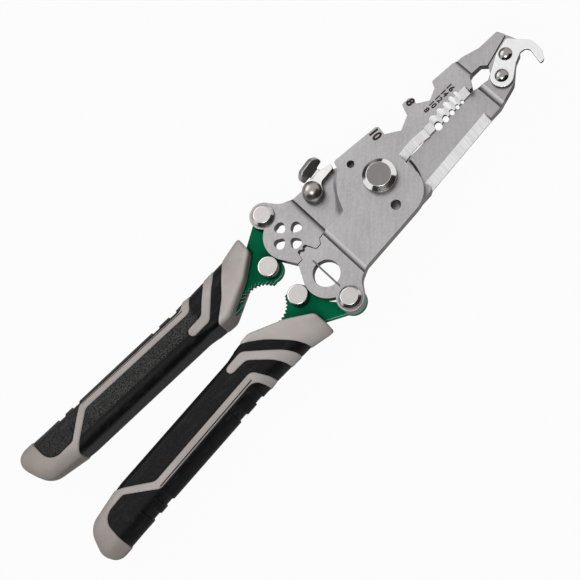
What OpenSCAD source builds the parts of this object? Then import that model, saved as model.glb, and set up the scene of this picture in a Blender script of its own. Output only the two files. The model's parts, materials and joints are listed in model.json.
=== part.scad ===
// Wire stripping pliers with fold-out handles.
// X runs from the handles to the jaw tips, Y across the tool and Z out of its front face.
// The origin is on the pivot, at the back face of the pivot nut.
// Lengths are in millimetres and angles in degrees.

/* [Jaw plates] */
// Thickness of each steel plate
plate_t = 3.5; // [3:0.1:4.5]
// Running gap between the faces of the two plates
plate_gap = 0.1; // [0.05:0.01:0.2]
// X of the bend that brings both tails to one level
tail_bend_x = -26; // [-27:0.25:-25]
// X of the bend that brings the front tip to the common level
front_tip_bend_x = 45.8; // [45:0.1:46.4]
// X of the bend that brings the rear tip to the common level
rear_tip_bend_x = 45.6; // [45:0.1:46.4]
// Length of the tail bends along X
tail_bend_run = 2; // [1.75:0.25:3]
// Length of the tip bends along X
tip_bend_run = 2; // [1.8:0.1:2.4]
// Height of the back edge of a plate above the pivot
back_y = 15.6; // [15:0.1:17]
// Right edge of the disc round the pivot
disc_x = 9.9; // [9.3:0.1:10.5]
// Corner radius of the disc
disc_r = 10; // [8:0.5:12]
// X of the jaw tip
tip_x = 64.4; // [62:0.2:68]

/* [Cutting edges] */
// Y of the line where the jaws part
parting_y = -1.2; // [-1.5:0.05:-0.8]
// Overlap of the two shearing edges
shear_lap = 0.1; // [0:0.02:0.3]
// X where the wire cutter ends and the stripping edge starts
cutter_end_x = 21.8; // [20:0.1:23]
// Radius of the arched wire cutter
cutter_r = 26; // [20:1:40]
// Width of the wire cutter's bevel
cutter_bevel = 2.3; // [1.5:0.1:3]
// X of the largest stripping hole
gauge_start = 26.2; // [25:0.1:27]
// Number of stripping holes
gauge_count = 5; // [3:1:6]
// Largest stripping hole diameter
gauge_largest = 2.6; // [2:0.05:3]
// Smallest stripping hole diameter
gauge_smallest = 1.05; // [0.8:0.05:1.4]
// Land between two stripping holes
gauge_land = 1.15; // [0.9:0.05:1.3]
// Length of the ground relief above a stripping hole
relief_h = 3.4; // [2:0.1:4]
// Thickness left at a ground edge
edge_land = 0.5; // [0.3:0.05:0.8]
// Width of the bevel of the outer knife edge
knife_w = 2.9; // [2:0.1:3.5]

/* [Wrench notches and screw cutters] */
// Width across flats of the large wrench notch
wrench_large = 10; // [9:0.5:11]
// Width across flats of the small wrench notch
wrench_small = 8; // [6:0.5:9]
// X of the large wrench notch
large_notch_x = 17; // [16.5:0.1:17.5]
// X of the small wrench notch
small_notch_x = 30.8; // [30.3:0.1:31.2]
// Drop of the back edge along the jaw
back_slope = 6; // [4:0.5:7]
// Diameter of the small screw cutter hole
small_screw_d = 2.6; // [2:0.1:3]
// Diameter of the large screw cutter hole
large_screw_d = 3.5; // [3:0.1:4.2]
// Distance of the screw cutter holes behind the pivot
screw_x = 3.4; // [2:0.1:5]
// Distance of the screw cutter holes from the tool's axis
screw_y = 10.8; // [10.5:0.1:11.5]

/* [Pivot] */
// Diameter of the pivot shank
pivot_d = 8; // [6:0.25:9]
// Diameter of the pivot's head and nut
pivot_head_d = 11.8; // [11:0.1:13]
// Diameter of the flat on the pivot's head
pivot_flat_d = 8.4; // [7:0.1:10]
// Height of the pivot's head
pivot_head_h = 3.2; // [2:0.1:4]
// Height of the pivot nut
pivot_nut_h = 2.5; // [2:0.1:3.5]
// Thickness of the washer under the nut
pivot_washer_t = 0.5; // [0.3:0.1:1]
// Radial clearance of a turning pin
pin_clear = 0.05; // [0.02:0.01:0.1]
// Axial gap between parts that slide on each other
slip = 0.05; // [0.03:0.01:0.15]
// Wire diameter of the opening spring
spring_wire = 1.2; // [0.8:0.1:1.4]
// Mean radius of the opening spring
spring_r = 7.7; // [7.3:0.1:8]
// Jaw opening angle
jaw_open = 22; // [15:1:25]

/* [Tails] */
// X of the rivets that the handles fold on
fold_x = -36.1; // [-37:0.1:-35.5]
// Y of the rivets that the handles fold on
fold_y = 21.2; // [20.8:0.1:22]
// Radius of the boss round a fold rivet
boss_r = 4.8; // [4.5:0.1:5.4]
// X of the centre of each tail's lobe
lobe_x = -35.2; // [-36:0.1:-34.5]
// Y of the centre of each tail's lobe
lobe_y = 9.8; // [9.4:0.1:10.2]
// Radius of each tail's lobe
lobe_r = 8.7; // [8.4:0.1:9.2]
// Gap between the closed tails
parting_gap = 0.2; // [0.1:0.05:0.4]
// Depth of the crimp die between the tails
crimp_depth = 0.8; // [0.5:0.1:1.2]
// Diameter of the cable splitting hole
splitter_d = 9.4; // [8.5:0.1:9.8]
// Length of the splitter blade
splitter_len = 13.2; // [12:0.1:14]
// Thickness of the splitter blade
splitter_t = 0.5; // [0.3:0.1:0.8]
// Outer radius of the wire winding holes
petal_reach = 5.7; // [5:0.1:6]
// Half width of a wire winding hole at its outer side
petal_half = 3.1; // [2.5:0.1:3.4]

/* [Fold rivets and stop pins] */
// Diameter of a fold rivet's shank
fold_pin_d = 5; // [4:0.25:6]
// Diameter of a fold rivet's head
fold_head_d = 8.1; // [7:0.1:9]
// Height of a fold rivet's front head
fold_head_h = 1.8; // [1.2:0.1:2.4]
// Height of a fold rivet's rear head
fold_tail_h = 1.5; // [1:0.1:2]
// Thickness of the washer between tail and lever
fold_washer_t = 0.4; // [0.3:0.05:0.8]
// Diameter of a stop pin
stop_d = 7.2; // [6:0.1:7.6]
// Direction of a stop pin from the centre of its lobe
stop_angle = 191.7; // [188:0.5:196]
// Gap between a stop pin and its lobe
stop_gap = 0.15; // [0.05:0.05:0.3]
// Height of a stop pin above the tail's front face
stop_proud = 0.4; // [0:0.1:1]

/* [Levers] */
// Thickness of a handle lever
lever_t = 2.5; // [2:0.1:3.5]
// Rim of the lever round the stop pin
lever_rim = 0.9; // [0.5:0.1:1.2]
// X of the centre of the toothed gripping gap
bite_x = -57.7; // [-58.5:0.1:-57]
// Radius of the toothed gripping gap at the roots
bite_r = 8.2; // [7.8:0.1:8.6]
// Number of teeth on each lever
bite_teeth = 12; // [8:1:16]
// Depth of the teeth
tooth_depth = 0.8; // [0.4:0.1:1]
// Width of the tang inside the grip
tang_w = 9; // [6:0.5:10]
// X of the end of the tang
tang_end_x = -138; // [-142:1:-110]

/* [Grips] */
// X of the far end of the grips
grip_end_x = -153.5; // [-158:0.5:-148]
// Width of a grip
grip_w = 16.2; // [15.5:0.1:17]
// Depth of a grip
grip_depth = 15.5; // [13:0.5:17]
// Depth of a grip at its mouth
mouth_depth = 12.8; // [12:0.1:13.5]
// Angle between a grip and the tool's axis
grip_splay = 3; // [2.5:0.25:3.5]
// Radius of a grip's long edges
grip_edge = 4; // [3:0.25:5]
// Width of the grey line on a grip
line_w = 2.9; // [2:0.1:4]
// Depth of the finger grooves
groove_depth = 0.6; // [0.3:0.1:1.2]
// Radius of the finger grooves
groove_r = 2.4; // [1.4:0.1:3]

/* [Hook blade] */
// Thickness of the hook blade
hook_t = 1.2; // [0.8:0.1:2]
// Diameter of the hook rivets' heads
hook_head_d = 4.8; // [4:0.1:5.4]
// Height of the hook rivets' heads
hook_head_h = 1.3; // [0.8:0.1:1.8]
// Diameter of the hook rivets' shanks
hook_pin_d = 3; // [2:0.1:3.5]

/* [Lock] */
// X of the lock's pivot
lock_x = -18.8; // [-19.4:0.1:-18.2]
// Y of the lock's pivot
lock_y = 14.1; // [13.8:0.1:14.4]
// Thickness of the lock lever
lock_t = 2; // [1.5:0.1:2.4]
// Radius of the lock lever round its pivot
lock_boss_r = 3.7; // [3.4:0.1:4]
// Diameter of the ball head on the lock's rivet
ball_d = 6.4; // [5.5:0.1:7]
// Diameter of the lock rivet's shank
lock_pin_d = 3.4; // [2.5:0.1:4]
// Angle that the resting lever stands clear of the locked place
lock_release = 8; // [8:0.5:12]
// Width of the thumb tab
tab_w = 9.6; // [7:0.1:11]
// Height of the thumb tab along its slope
tab_h = 5; // [3.5:0.1:6]
// Angle that the thumb tab is bent up
tab_bend = 60; // [45:5:80]

/* [Hidden] */
$fn = 64;

steel = [0.70, 0.69, 0.68];
bright = [0.86, 0.86, 0.85];
dark_steel = [0.52, 0.51, 0.50];
green = [0.0, 0.38, 0.25];
grey_grip = [0.63, 0.59, 0.57];
black_grip = [0.11, 0.11, 0.11];

far = 200;
front = 1;
rear = -1;

// Heights measured from the middle between the plates
face_z = plate_gap / 2;
level_shift = (plate_t + plate_gap) / 2;
nut_z = -(face_z + plate_t + slip + pivot_washer_t + pivot_nut_h);
lever_top_z = -(plate_t / 2 + 2 * slip + fold_washer_t);
lever_back_z = lever_top_z - lever_t;
grip_z = lever_top_z - lever_t / 2;
lock_z = -face_z + lock_washer_t() + slip;

fold = [fold_x, fold_y];
lobe = [lobe_x, lobe_y];
bite = [bite_x, 0];
stop_at = lobe + (lobe_r + stop_d / 2 + stop_gap) * ray(stop_angle);
lock_at = [lock_x, lock_y];
splitter_at = [lobe_x - 0.4, 0.4 - lobe_y];
hook_low = [52.5, -5.6];
hook_high = [58.9, -1.2];
large_notch = [large_notch_x, back_line(large_notch_x) - 1.2];
small_notch = [small_notch_x, back_line(small_notch_x) - 1.05];
knife_from = [9, -14.5];
knife_to = [39.8, -12.3];

function lock_washer_t() = 0.3;
function ray(a) = [cos(a), sin(a)];
function mirrored(points) = [for (p = points) [p.x, -p.y, len(p) > 2 ? p[2] : 0]];
function flip_order(points) = [for (i = [len(points) - 1:-1:0]) points[i]];

// Y of the back edge at x, on the sloping stretch that carries the wrench notches
function back_line(x) = back_y - 0.6 - (x + 5) * tan(back_slope) * 0.8;

// Half of the angle between the two edges that meet at b
function half_angle(a, b, c) =
    acos(max(-1, min(1, (a - b) * (c - b) / norm(a - b) / norm(c - b)))) / 2;

// An outline whose corners [x, y, radius] are rounded, with the radii limited by the edges
function rounded(corners) =
    let (
        n = len(corners),
        p = [for (c = corners) [c.x, c.y]],
        before = [for (i = [0:n - 1]) p[(i + n - 1) % n]],
        after = [for (i = [0:n - 1]) p[(i + 1) % n]],
        half = [for (i = [0:n - 1]) half_angle(before[i], p[i], after[i])],
        want = [for (i = [0:n - 1])
            let (r = len(corners[i]) > 2 ? corners[i][2] : 0) half[i] > 88 ? 0 : r / tan(half[i])],
        share = [for (i = [0:n - 1])
            min(1, 0.98 * norm(after[i] - p[i]) / max(0.001, want[i] + want[(i + 1) % n]))]
    )
    [
        for (i = [0:n - 1])
            each corner_arc(before[i], p[i], after[i], half[i],
                want[i] * min(share[i], share[(i + n - 1) % n]))
    ];
function corner_arc(a, b, c, half, reach) =
    reach < 0.02 ? [b] :
    let (
        u = (a - b) / norm(a - b),
        v = (c - b) / norm(c - b),
        radius = reach * tan(half),
        centre = b + (u + v) / norm(u + v) * radius / sin(half),
        start = b + u * reach - centre,
        turn = (u.x * v.y - u.y * v.x > 0 ? -1 : 1) * (180 - 2 * half),
        steps = max(2, ceil(abs(turn) / 12)),
        from = atan2(start.y, start.x)
    )
    [for (k = [0:steps]) centre + radius * ray(from + turn * k / steps)];

module lift() translate([0, 0, -nut_z]) children();
module side(s) mirror([0, s < 0 ? 1 : 0, 0]) children();

// Corners of half a hexagon that takes a nut of the given width across flats, open upwards, with
// its far wall splayed and ending at the given share of that width
function notch(at, flats, tilt, rise) = [
    for (p = [
        [-flats * 0.47, flats * 0.12, 1.2],
        [-flats / 2, -flats / 2 * tan(30), 0.2],
        [0, -flats / sqrt(3), 0.3],
        [flats / 2, -flats / 2 * tan(30), 0.2],
        [flats * 0.61, flats * rise, 0.8]
    ])
    [
        at.x + p.x * cos(tilt) - p.y * sin(tilt),
        at.y + p.x * sin(tilt) + p.y * cos(tilt),
        p[2]
    ]
];

// Outer side of a tail from the plate round the boss and lobe to the parting line, drawn for +Y
function tail_side() = [
    [tail_bend_x + 1.5, 18.4, 4],
    [fold.x + boss_r * 1.55, fold.y - boss_r * 0.5, 6],
    [each (fold + boss_r * ray(25)), 0],
    fold,
    lobe,
    [each (lobe + lobe_r * ray(207)), 0]
];

// The interlocking line between the closed tails, from the left end to the bend
function tail_parting(rise, die) = [
    [-39.9, rise, 0],
    [-37.8, rise, 0.2],
    [-37.1, 2.1 + rise + die, 0.2],
    [-36.2, 2.3 + rise + die, 0.2],
    [-35.3, 1.5 + rise + die, 0.2],
    [-34.4, 2.3 + rise + die, 0.2],
    [-33.5, 2.2 + rise + die, 0.2],
    [-32, -0.9 + rise, 0.3],
    [-29.9, -0.9 + rise, 0.4],
    [-28.6, 0.9 + rise, 0.4],
    [-26.4, 1.1 + rise, 0]
];

// The edge that sweeps up from the tail to the shoulder under the lock, drawn for +Y
function shoulder(step) = [
    [-16.8, 0.6, 1.5],
    [-14.2, 6.6, 9],
    [-7.6, back_y - 2.6, 0.4],
    [-6.6, back_y + step, 0.8]
];

// Upper contact line between the tips
function tip_line(drop) = [
    [52.4, parting_y + 2.1 - drop, 0.4],
    [tip_x, parting_y + 5.2 - drop, 0.3]
];

front_outline = concat(
    mirrored(tail_side()),
    tail_parting(0, 0),
    shoulder(0.3),
    notch(large_notch, wrench_large, -back_slope, 0.13),
    notch(small_notch, wrench_small, -back_slope, 0.02),
    [
        [45, 9.75, 12],
        [48.6, 9.75, 6],
        [54.9, 7.5, 6],
        [tip_x - 1.2, 7.1, 1]
    ],
    flip_order(tip_line(0)),
    [
        [50.7, parting_y + 3.9, 0.4],
        [47, parting_y + 4.1, 0.4],
        [45.2, parting_y + 3.2, 0.4],
        [43, parting_y - shear_lap / 2, 0.4],
        [cutter_end_x, parting_y - shear_lap / 2, 0],
        [cutter_end_x, parting_y - 1, 0],
        [disc_x - 0.5, parting_y - 1, 0.6],
        [disc_x, -back_y - 0.9, disc_r]
    ]
);

rear_outline = concat(
    [
        [9.6, back_y - 2, 9],
        [-6, back_y - 1, 6],
        [-13.5, 17.6, 6]
    ],
    tail_side(),
    tail_parting(parting_gap, crimp_depth),
    [[tail_bend_x + 2, 1.1 + parting_gap, 1]],
    mirrored(shoulder(0)),
    [
        [knife_from.x - 1.4, knife_from.y - 0.7, 0.8],
        [each knife_from, 0],
        [each knife_to, 1],
        [46.5, -12.2, 6],
        [53.2, -10.4, 4],
        [58.9, -5.7, 4],
        [62.1, -4.5, 1],
        [tip_x + 1.4, -0.9, 1.5]
    ],
    flip_order(tip_line(parting_gap * 1.75)),
    [
        [50.6, parting_y - 0.7, 0.4],
        [48.6, parting_y - 1.7, 0.5],
        [46.2, parting_y - 1.1, 0.5],
        [43.6, parting_y + shear_lap / 2, 0.4],
        [cutter_end_x, parting_y + shear_lap / 2, 0],
        [cutter_end_x, parting_y + 1, 0],
        [disc_x - 0.5, parting_y + 1, 0.6],
        [disc_x, 4, 3]
    ]
);

// Side profile of a plate, level in its tail and tip and shifted between them
function plate_profile(level) =
    let (
        s = level * level_shift,
        h = plate_t / 2,
        tip = level > 0 ? front_tip_bend_x : rear_tip_bend_x,
        line = [
            [-far, 0],
            [tail_bend_x - tail_bend_run / 2, 0],
            [tail_bend_x + tail_bend_run / 2, s],
            [tip - tip_bend_run / 2, s],
            [tip + tip_bend_run / 2, 0],
            [far, 0]
        ]
    )
    concat([for (p = line) p + [0, h]], flip_order([for (p = line) p - [0, h]]));

// A plate cut to its outline, with round boss and lobe, and bent at tail and tip
module plate_blank(outline, parting, level, s) {
    intersection() {
        linear_extrude(height = 4 * plate_t, center = true) difference() {
            union() {
                polygon(rounded(outline));
                side(s) translate(fold) circle(boss_r);
                side(s) translate(lobe) circle(lobe_r);
            }
            polygon(rounded(concat(
                [[-39.9, s * -6, 0]], parting, [[-26.4, s * -6, 0]]
            )));
        }
        rotate([90, 0, 0])
            linear_extrude(height = far, center = true) polygon(plate_profile(level));
    }
}

function gauge_d(i) = gauge_largest * pow(gauge_smallest / gauge_largest, i / (gauge_count - 1));
function gauge_x(i) =
    i == 0 ? gauge_start : gauge_x(i - 1) + (gauge_d(i - 1) + gauge_d(i)) / 2 + gauge_land;

// A flat bevel on the front of the upper jaw, from x0 to x1, that runs out at height h
module edge_bevel(x0, x1, h) {
    back = face_z + edge_land;
    translate([x0, parting_y, 0]) rotate([90, 0, 90])
        linear_extrude(height = x1 - x0)
            polygon([[-2, back], [0, back], [h, face_z + plate_t], [h, far], [-2, far]]);
}

// A round groove ground at a slant from the edge at x up to the front face
module relief(x, r) {
    rise = atan((plate_t - edge_land) / relief_h);
    translate([x, parting_y, face_z + edge_land]) rotate([rise - 90, 0, 0])
        translate([0, -r, -far / 8]) cylinder(r = r, h = far / 4);
}

// Everything ground into the upper jaw: the arched wire cutter, stripping reliefs and holes
module jaw_grinding() {
    intersection() {
        translate([(disc_x + cutter_end_x) / 2, parting_y + 0.2 - cutter_r, face_z - 1])
            union() {
                cylinder(r = cutter_r, h = 1 + edge_land, $fn = 180);
                translate([0, 0, 1 + edge_land])
                    cylinder(
                        r1 = cutter_r,
                        r2 = cutter_r + cutter_bevel * 1.5,
                        h = (plate_t - edge_land) * 1.5,
                        $fn = 180
                    );
            }
        translate([disc_x - 0.2, parting_y - 5, -far / 2])
            cube([cutter_end_x - disc_x + 0.2, 12, far]);
    }
    edge_bevel(cutter_end_x, 41.6, relief_h * 0.64);
    for (i = [0:gauge_count - 1]) relief(gauge_x(i), gauge_d(i) / 2 + 0.2);
    for (i = [0:gauge_count - 1])
        translate([gauge_x(i), parting_y, -far / 2]) cylinder(d = gauge_d(i), h = far);
}

module hole(at, d) translate([at.x, at.y, -far / 2]) cylinder(d = d, h = far);

// Half of the ring-shaped pocket that holds the spring, cut into one plate's inner face
module spring_pocket() {
    reach = spring_wire / 2 + 0.25;
    rotate_extrude($fn = 96)
        translate([spring_r - reach, -reach]) square([2 * reach, 2 * reach]);
}

spring_sweep = 300;
spring_leg = 2.2;

module front_jaw_plate() {
    color(steel) lift() difference() {
        plate_blank(front_outline, tail_parting(0, 0), front, -1);
        jaw_grinding();
        hole([0, 0], pivot_d + 2 * pin_clear);
        hole([-screw_x, screw_y], small_screw_d);
        hole([-screw_x, -screw_y], large_screw_d);
        side(-1) hole(fold, fold_pin_d);
        hole(splitter_at, splitter_d);
        translate(splitter_at) cube([splitter_t, splitter_len, far], center = true);
        spring_pocket();
        rotate(6) translate([spring_r, 0, 0]) cylinder(d = spring_wire, h = spring_leg + 0.2);
    }
}

// A wire winding hole: a rounded wedge that points to the middle of the lobe
module petal() {
    linear_extrude(height = far, center = true)
        polygon(rounded([[0.7, 0, 1.3], [petal_reach, petal_half, 1.5], [petal_reach, -petal_half, 1.5]]));
}

module knife_bevel() {
    run = knife_to - knife_from;
    back = -face_z - plate_t + edge_land;
    translate([knife_from.x, knife_from.y, 0]) rotate(atan2(run.y, run.x))
        rotate([90, 0, 90]) linear_extrude(height = norm(run))
            polygon([[-4, back], [0, back], [knife_w, -face_z], [knife_w, far], [-4, far]]);
}

module rear_jaw_plate() {
    color(steel) lift() difference() {
        plate_blank(rear_outline, tail_parting(parting_gap, crimp_depth), rear, 1);
        translate([0, 2 * parting_y, 0]) rotate([180, 0, 0]) jaw_grinding();
        knife_bevel();
        hole([0, 0], pivot_d + 2 * pin_clear);
        rotate(15) hole([-screw_x, screw_y], small_screw_d);
        rotate(15) hole([-screw_x, -screw_y], large_screw_d);
        hole(fold, fold_pin_d);
        for (a = [0:90:270]) translate([lobe.x, lobe.y, 0]) rotate(a) petal();
        hole(hook_low, hook_pin_d);
        hole(hook_high, hook_pin_d);
        hole(lock_at, lock_pin_d);
        spring_pocket();
        rotate(spring_sweep - 14) rotate_extrude(angle = jaw_open + 16)
            translate([spring_r - spring_wire / 2 - 0.15, -spring_leg - 0.2])
                square([spring_wire + 0.3, spring_leg + 0.1]);
    }
}

// A round head with a chamfered rim round its flat
module round_head(d, flat_d, h) {
    rim = h * 0.35;
    cylinder(d = d, h = rim);
    translate([0, 0, rim]) cylinder(d1 = d, d2 = flat_d, h = h - rim);
}

module pivot_bolt() {
    color(dark_steel) lift() {
        translate([0, 0, face_z + plate_t]) round_head(pivot_head_d, pivot_flat_d, pivot_head_h);
        translate([0, 0, nut_z + 0.4])
            cylinder(d = pivot_d, h = face_z + plate_t - nut_z - 0.4 + 0.1);
    }
}

module pivot_nut() {
    color(dark_steel) lift() difference() {
        translate([0, 0, nut_z + pivot_nut_h]) mirror([0, 0, 1])
            round_head(pivot_head_d, pivot_head_d - 1.6, pivot_nut_h);
        hole([0, 0], pivot_d);
    }
}

module pivot_washer() {
    color(bright) lift() difference() {
        translate([0, 0, nut_z + pivot_nut_h])
            cylinder(d = pivot_head_d + 1.2, h = pivot_washer_t);
        hole([0, 0], pivot_d);
    }
}

// A turned-out end of the spring at the given angle
module spring_end(a, up) {
    rotate(a) translate([spring_r, 0, 0]) mirror([0, 0, up ? 0 : 1])
        cylinder(d = spring_wire - 0.1, h = spring_leg, $fn = 24);
}

module jaw_spring() {
    color(bright) lift() {
        rotate_extrude(angle = spring_sweep, $fn = 96)
            translate([spring_r, 0]) circle(d = spring_wire, $fn = 24);
        spring_end(6, true);
        spring_end(spring_sweep - 6, false);
    }
}

module splitter_blade() {
    color(bright) lift() translate(splitter_at)
        cube([splitter_t, splitter_len, plate_t], center = true);
}

// Outline of the hook: a heel round the lower rivet, a broad back and a beak that points down
hook_outline = [
    [46.8, -4.4, 4],
    [57.2, 1.2, 3],
    [tip_x - 1.2, 2.5, 1],
    [tip_x + 1.2, -0.9, 4],
    [tip_x + 3.8, -4.2, 4],
    [tip_x + 3.6, -9.4, 4],
    [tip_x + 1, -13, 1.6],
    [tip_x - 0.3, -12.2, 0.4],
    [tip_x + 1, -6.5, 2],
    [tip_x + 0.1, -5, 1],
    [62.5, -4.7, 1],
    [58.8, -6.2, 2],
    [51.4, -11.4, 4]
];

module hook_blade() {
    color(bright) lift() difference() {
        translate([0, 0, plate_t / 2]) linear_extrude(height = hook_t)
            polygon(rounded(hook_outline));
        hole(hook_low, hook_pin_d);
        hole(hook_high, hook_pin_d);
    }
}

// A domed head that is a slice of a sphere
module dome(d, h) {
    r = (d * d / 4 + h * h) / (2 * h);
    intersection() {
        translate([0, 0, h - r]) sphere(r = r);
        cylinder(d = d + 1, h = h + 1);
    }
}

module hook_rivets() {
    color(bright) lift() for (at = [hook_low, hook_high]) translate([at.x, at.y, 0]) {
        translate([0, 0, plate_t / 2 + hook_t]) dome(hook_head_d, hook_head_h);
        translate([0, 0, -plate_t / 2 - 0.4])
            cylinder(d = hook_pin_d, h = plate_t + hook_t + 0.5);
        translate([0, 0, -plate_t / 2 - 0.8]) cylinder(d = hook_head_d - 0.6, h = 0.8);
    }
}

// Lock lever, drawn with its pivot at lock_at and in its locked place
lock_strut = [
    [-16.4, 11.6, 3],
    [-14.4, 13.8, 3],
    [-8.3, 13.4, 0.3],
    [-7.4, back_y - 0.5, 0.6],
    [-11.4, 16.8, 1.6],
    [-11.6, 18.2, 0],
    [-15.2, 18.2, 0],
    [-15.4, 16.6, 1.6],
    [lock_x + 1, lock_y + lock_boss_r, 0],
    lock_at
];
tab_at = [-13.4, 18.2];

// Outline of the thumb tab from its neck to its rounded top
tab_outline = [
    [-1.8, 0, 0],
    [-1.8, tab_h * 0.2, 0.8],
    [-tab_w / 2, tab_h * 0.24, 0.7],
    [-tab_w / 2, tab_h * 0.62, 1.6],
    [-tab_w * 0.3, tab_h, 2.4],
    [tab_w * 0.3, tab_h, 2.4],
    [tab_w / 2, tab_h * 0.62, 1.6],
    [tab_w / 2, tab_h * 0.24, 0.7],
    [1.8, tab_h * 0.2, 0.8],
    [1.8, 0, 0]
];

module lock_lever() {
    color(bright) lift() translate([lock_x, lock_y, lock_z])
        rotate(lock_release) translate([-lock_x, -lock_y, 0]) difference() {
            union() {
                linear_extrude(height = lock_t) {
                    polygon(rounded(lock_strut));
                    translate(lock_at) circle(lock_boss_r);
                }
                translate([tab_at.x, tab_at.y, 0]) {
                    translate([0, 0, lock_t / 2]) rotate([0, 90, 0])
                        cylinder(d = lock_t, h = 3.6, center = true);
                    translate([0, 0, lock_t / 2]) rotate([tab_bend, 0, 0])
                        translate([0, 0, -lock_t / 2]) linear_extrude(height = lock_t)
                            polygon(rounded(tab_outline));
                }
            }
            hole(lock_at, lock_pin_d + 2 * pin_clear);
        }
}

module lock_rivet() {
    top = lock_z + lock_t + slip;
    color(dark_steel) lift() translate([lock_x, lock_y, 0]) {
        intersection() {
            translate([0, 0, top + ball_d * 0.22]) sphere(d = ball_d);
            translate([0, 0, top + far / 2]) cube(far, center = true);
        }
        translate([0, 0, -face_z - plate_t - 0.4])
            cylinder(d = lock_pin_d, h = top + face_z + plate_t + 0.5);
        translate([0, 0, -face_z - plate_t - 1]) cylinder(d = lock_pin_d + 2.6, h = 1);
    }
}

module lock_washer() {
    color(bright) lift() difference() {
        translate([lock_x, lock_y, -face_z]) cylinder(r = lock_boss_r - 0.4, h = lock_washer_t());
        hole(lock_at, lock_pin_d);
    }
}

module fold_rivet(s) {
    color(bright) lift() side(s) translate([fold.x, fold.y, 0]) {
        translate([0, 0, plate_t / 2]) round_head(fold_head_d, fold_head_d - 2.3, fold_head_h);
        translate([0, 0, lever_back_z - slip - 0.1])
            cylinder(d = fold_pin_d, h = plate_t / 2 - lever_back_z + slip + 0.2);
        translate([0, 0, lever_back_z - slip]) mirror([0, 0, 1])
            round_head(fold_head_d, fold_head_d - 2.3, fold_tail_h);
    }
}

module fold_washer(s) {
    color(bright) lift() side(s) difference() {
        translate([fold.x, fold.y, -plate_t / 2 - fold_washer_t])
            cylinder(d = fold_head_d, h = fold_washer_t);
        hole(fold, fold_pin_d);
    }
}

// Y of the grip's outer and inner edge at x
function grip_outer(x) = 21 - (x + 64) * tan(grip_splay);
function grip_inner(x) = grip_outer(x) - grip_w;
function grip_mid(x) = (grip_outer(x) + grip_inner(x)) / 2;

function lever_body() = [
    [each fold, 0],
    [each (fold + boss_r * ray(155)), 0],
    [-50, fold.y - 3.4, 8],
    [-62, grip_mid(-62) + tang_w / 2, 8],
    [tang_end_x, grip_mid(tang_end_x) + tang_w / 2, 3],
    [tang_end_x, grip_mid(tang_end_x) - tang_w / 2, 3],
    [-74, grip_mid(-74) - tang_w / 2, 6],
    [bite_x - bite_r - 0.3, 3.8, 0.8],
    [stop_at.x - 1.8, stop_at.y - stop_d / 2 - 0.8, 0],
    [each stop_at, 0],
    [stop_at.x + stop_d / 2 + 0.3, stop_at.y + 1, 2],
    [-41.7, 15.6, 6],
    [-39.6, 18, 0]
];

// The toothed rim of the gripping gap, as a cut outline
bite_from = 12;
bite_to = 130;
function bite_cut() = concat(
    [
        for (k = [0:bite_teeth])
            let (a = bite_from + (bite_to - bite_from) * k / bite_teeth,
                 half = (bite_to - bite_from) / bite_teeth / 2)
            each (k < bite_teeth
                ? [bite + (bite_r - tooth_depth) * ray(a), bite + bite_r * ray(a + half)]
                : [bite + (bite_r - tooth_depth) * ray(a)])
    ],
    [bite + [-bite_r, -3], bite + [bite_r, -3]]
);

module lever_2d() {
    difference() {
        union() {
            polygon(rounded(lever_body()));
            translate(fold) circle(boss_r);
            translate(stop_at) circle(d = stop_d + 2 * lever_rim);
        }
        polygon(bite_cut());
    }
}

module lever(s) {
    color(green) lift() side(s) difference() {
        translate([0, 0, lever_back_z]) linear_extrude(height = lever_t) lever_2d();
        hole(fold, fold_pin_d + 2 * pin_clear);
        hole(stop_at, stop_d * 0.55);
    }
}

module stop_pin(s) {
    color(bright) lift() side(s) translate([stop_at.x, stop_at.y, 0]) {
        translate([0, 0, lever_top_z])
            cylinder(d = stop_d, h = plate_t / 2 + stop_proud - lever_top_z);
        translate([0, 0, lever_back_z - 0.5])
            cylinder(d = stop_d * 0.55, h = lever_t + 0.6);
        translate([0, 0, lever_back_z - 0.8]) cylinder(d = stop_d * 0.8, h = 0.8);
    }
}

// A disc with a rounded rim, that the grips' forms are stretched over
module puck(x, y, r, depth, edge) {
    e = min(edge, r - 0.1);
    translate([x, y, 0]) rotate_extrude($fn = 36)
        polygon(concat(
            [[0, depth / 2]],
            [for (a = [90:-22.5:0]) [r - e * (1 - cos(a)), depth / 2 - e * (1 - sin(a))]],
            [for (a = [0:22.5:90]) [r - e * (1 - cos(a)), -depth / 2 + e * (1 - sin(a))]],
            [[0, -depth / 2]]
        ));
}

module outer_puck(x, r) puck(x, grip_outer(x) - r, r, grip_depth, grip_edge);
module inner_puck(x, r) puck(x, grip_inner(x) + r, r, grip_depth, grip_edge);

// A puck at the far end, thinner than the grip: from_outer is its distance to the outer edge
module end_puck(x, from_outer, r)
    puck(x, grip_outer(x) - from_outer, r, grip_depth - 2, grip_edge + 0.6);

// The narrow place of the collar, between its mouth and the grip
module collar_waist() {
    puck(-57, 17.1, 4, (mouth_depth + grip_depth) / 2, 2);
    puck(-59.5, 12.2, 2.4, (mouth_depth + grip_depth) / 2, 2);
}

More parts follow.
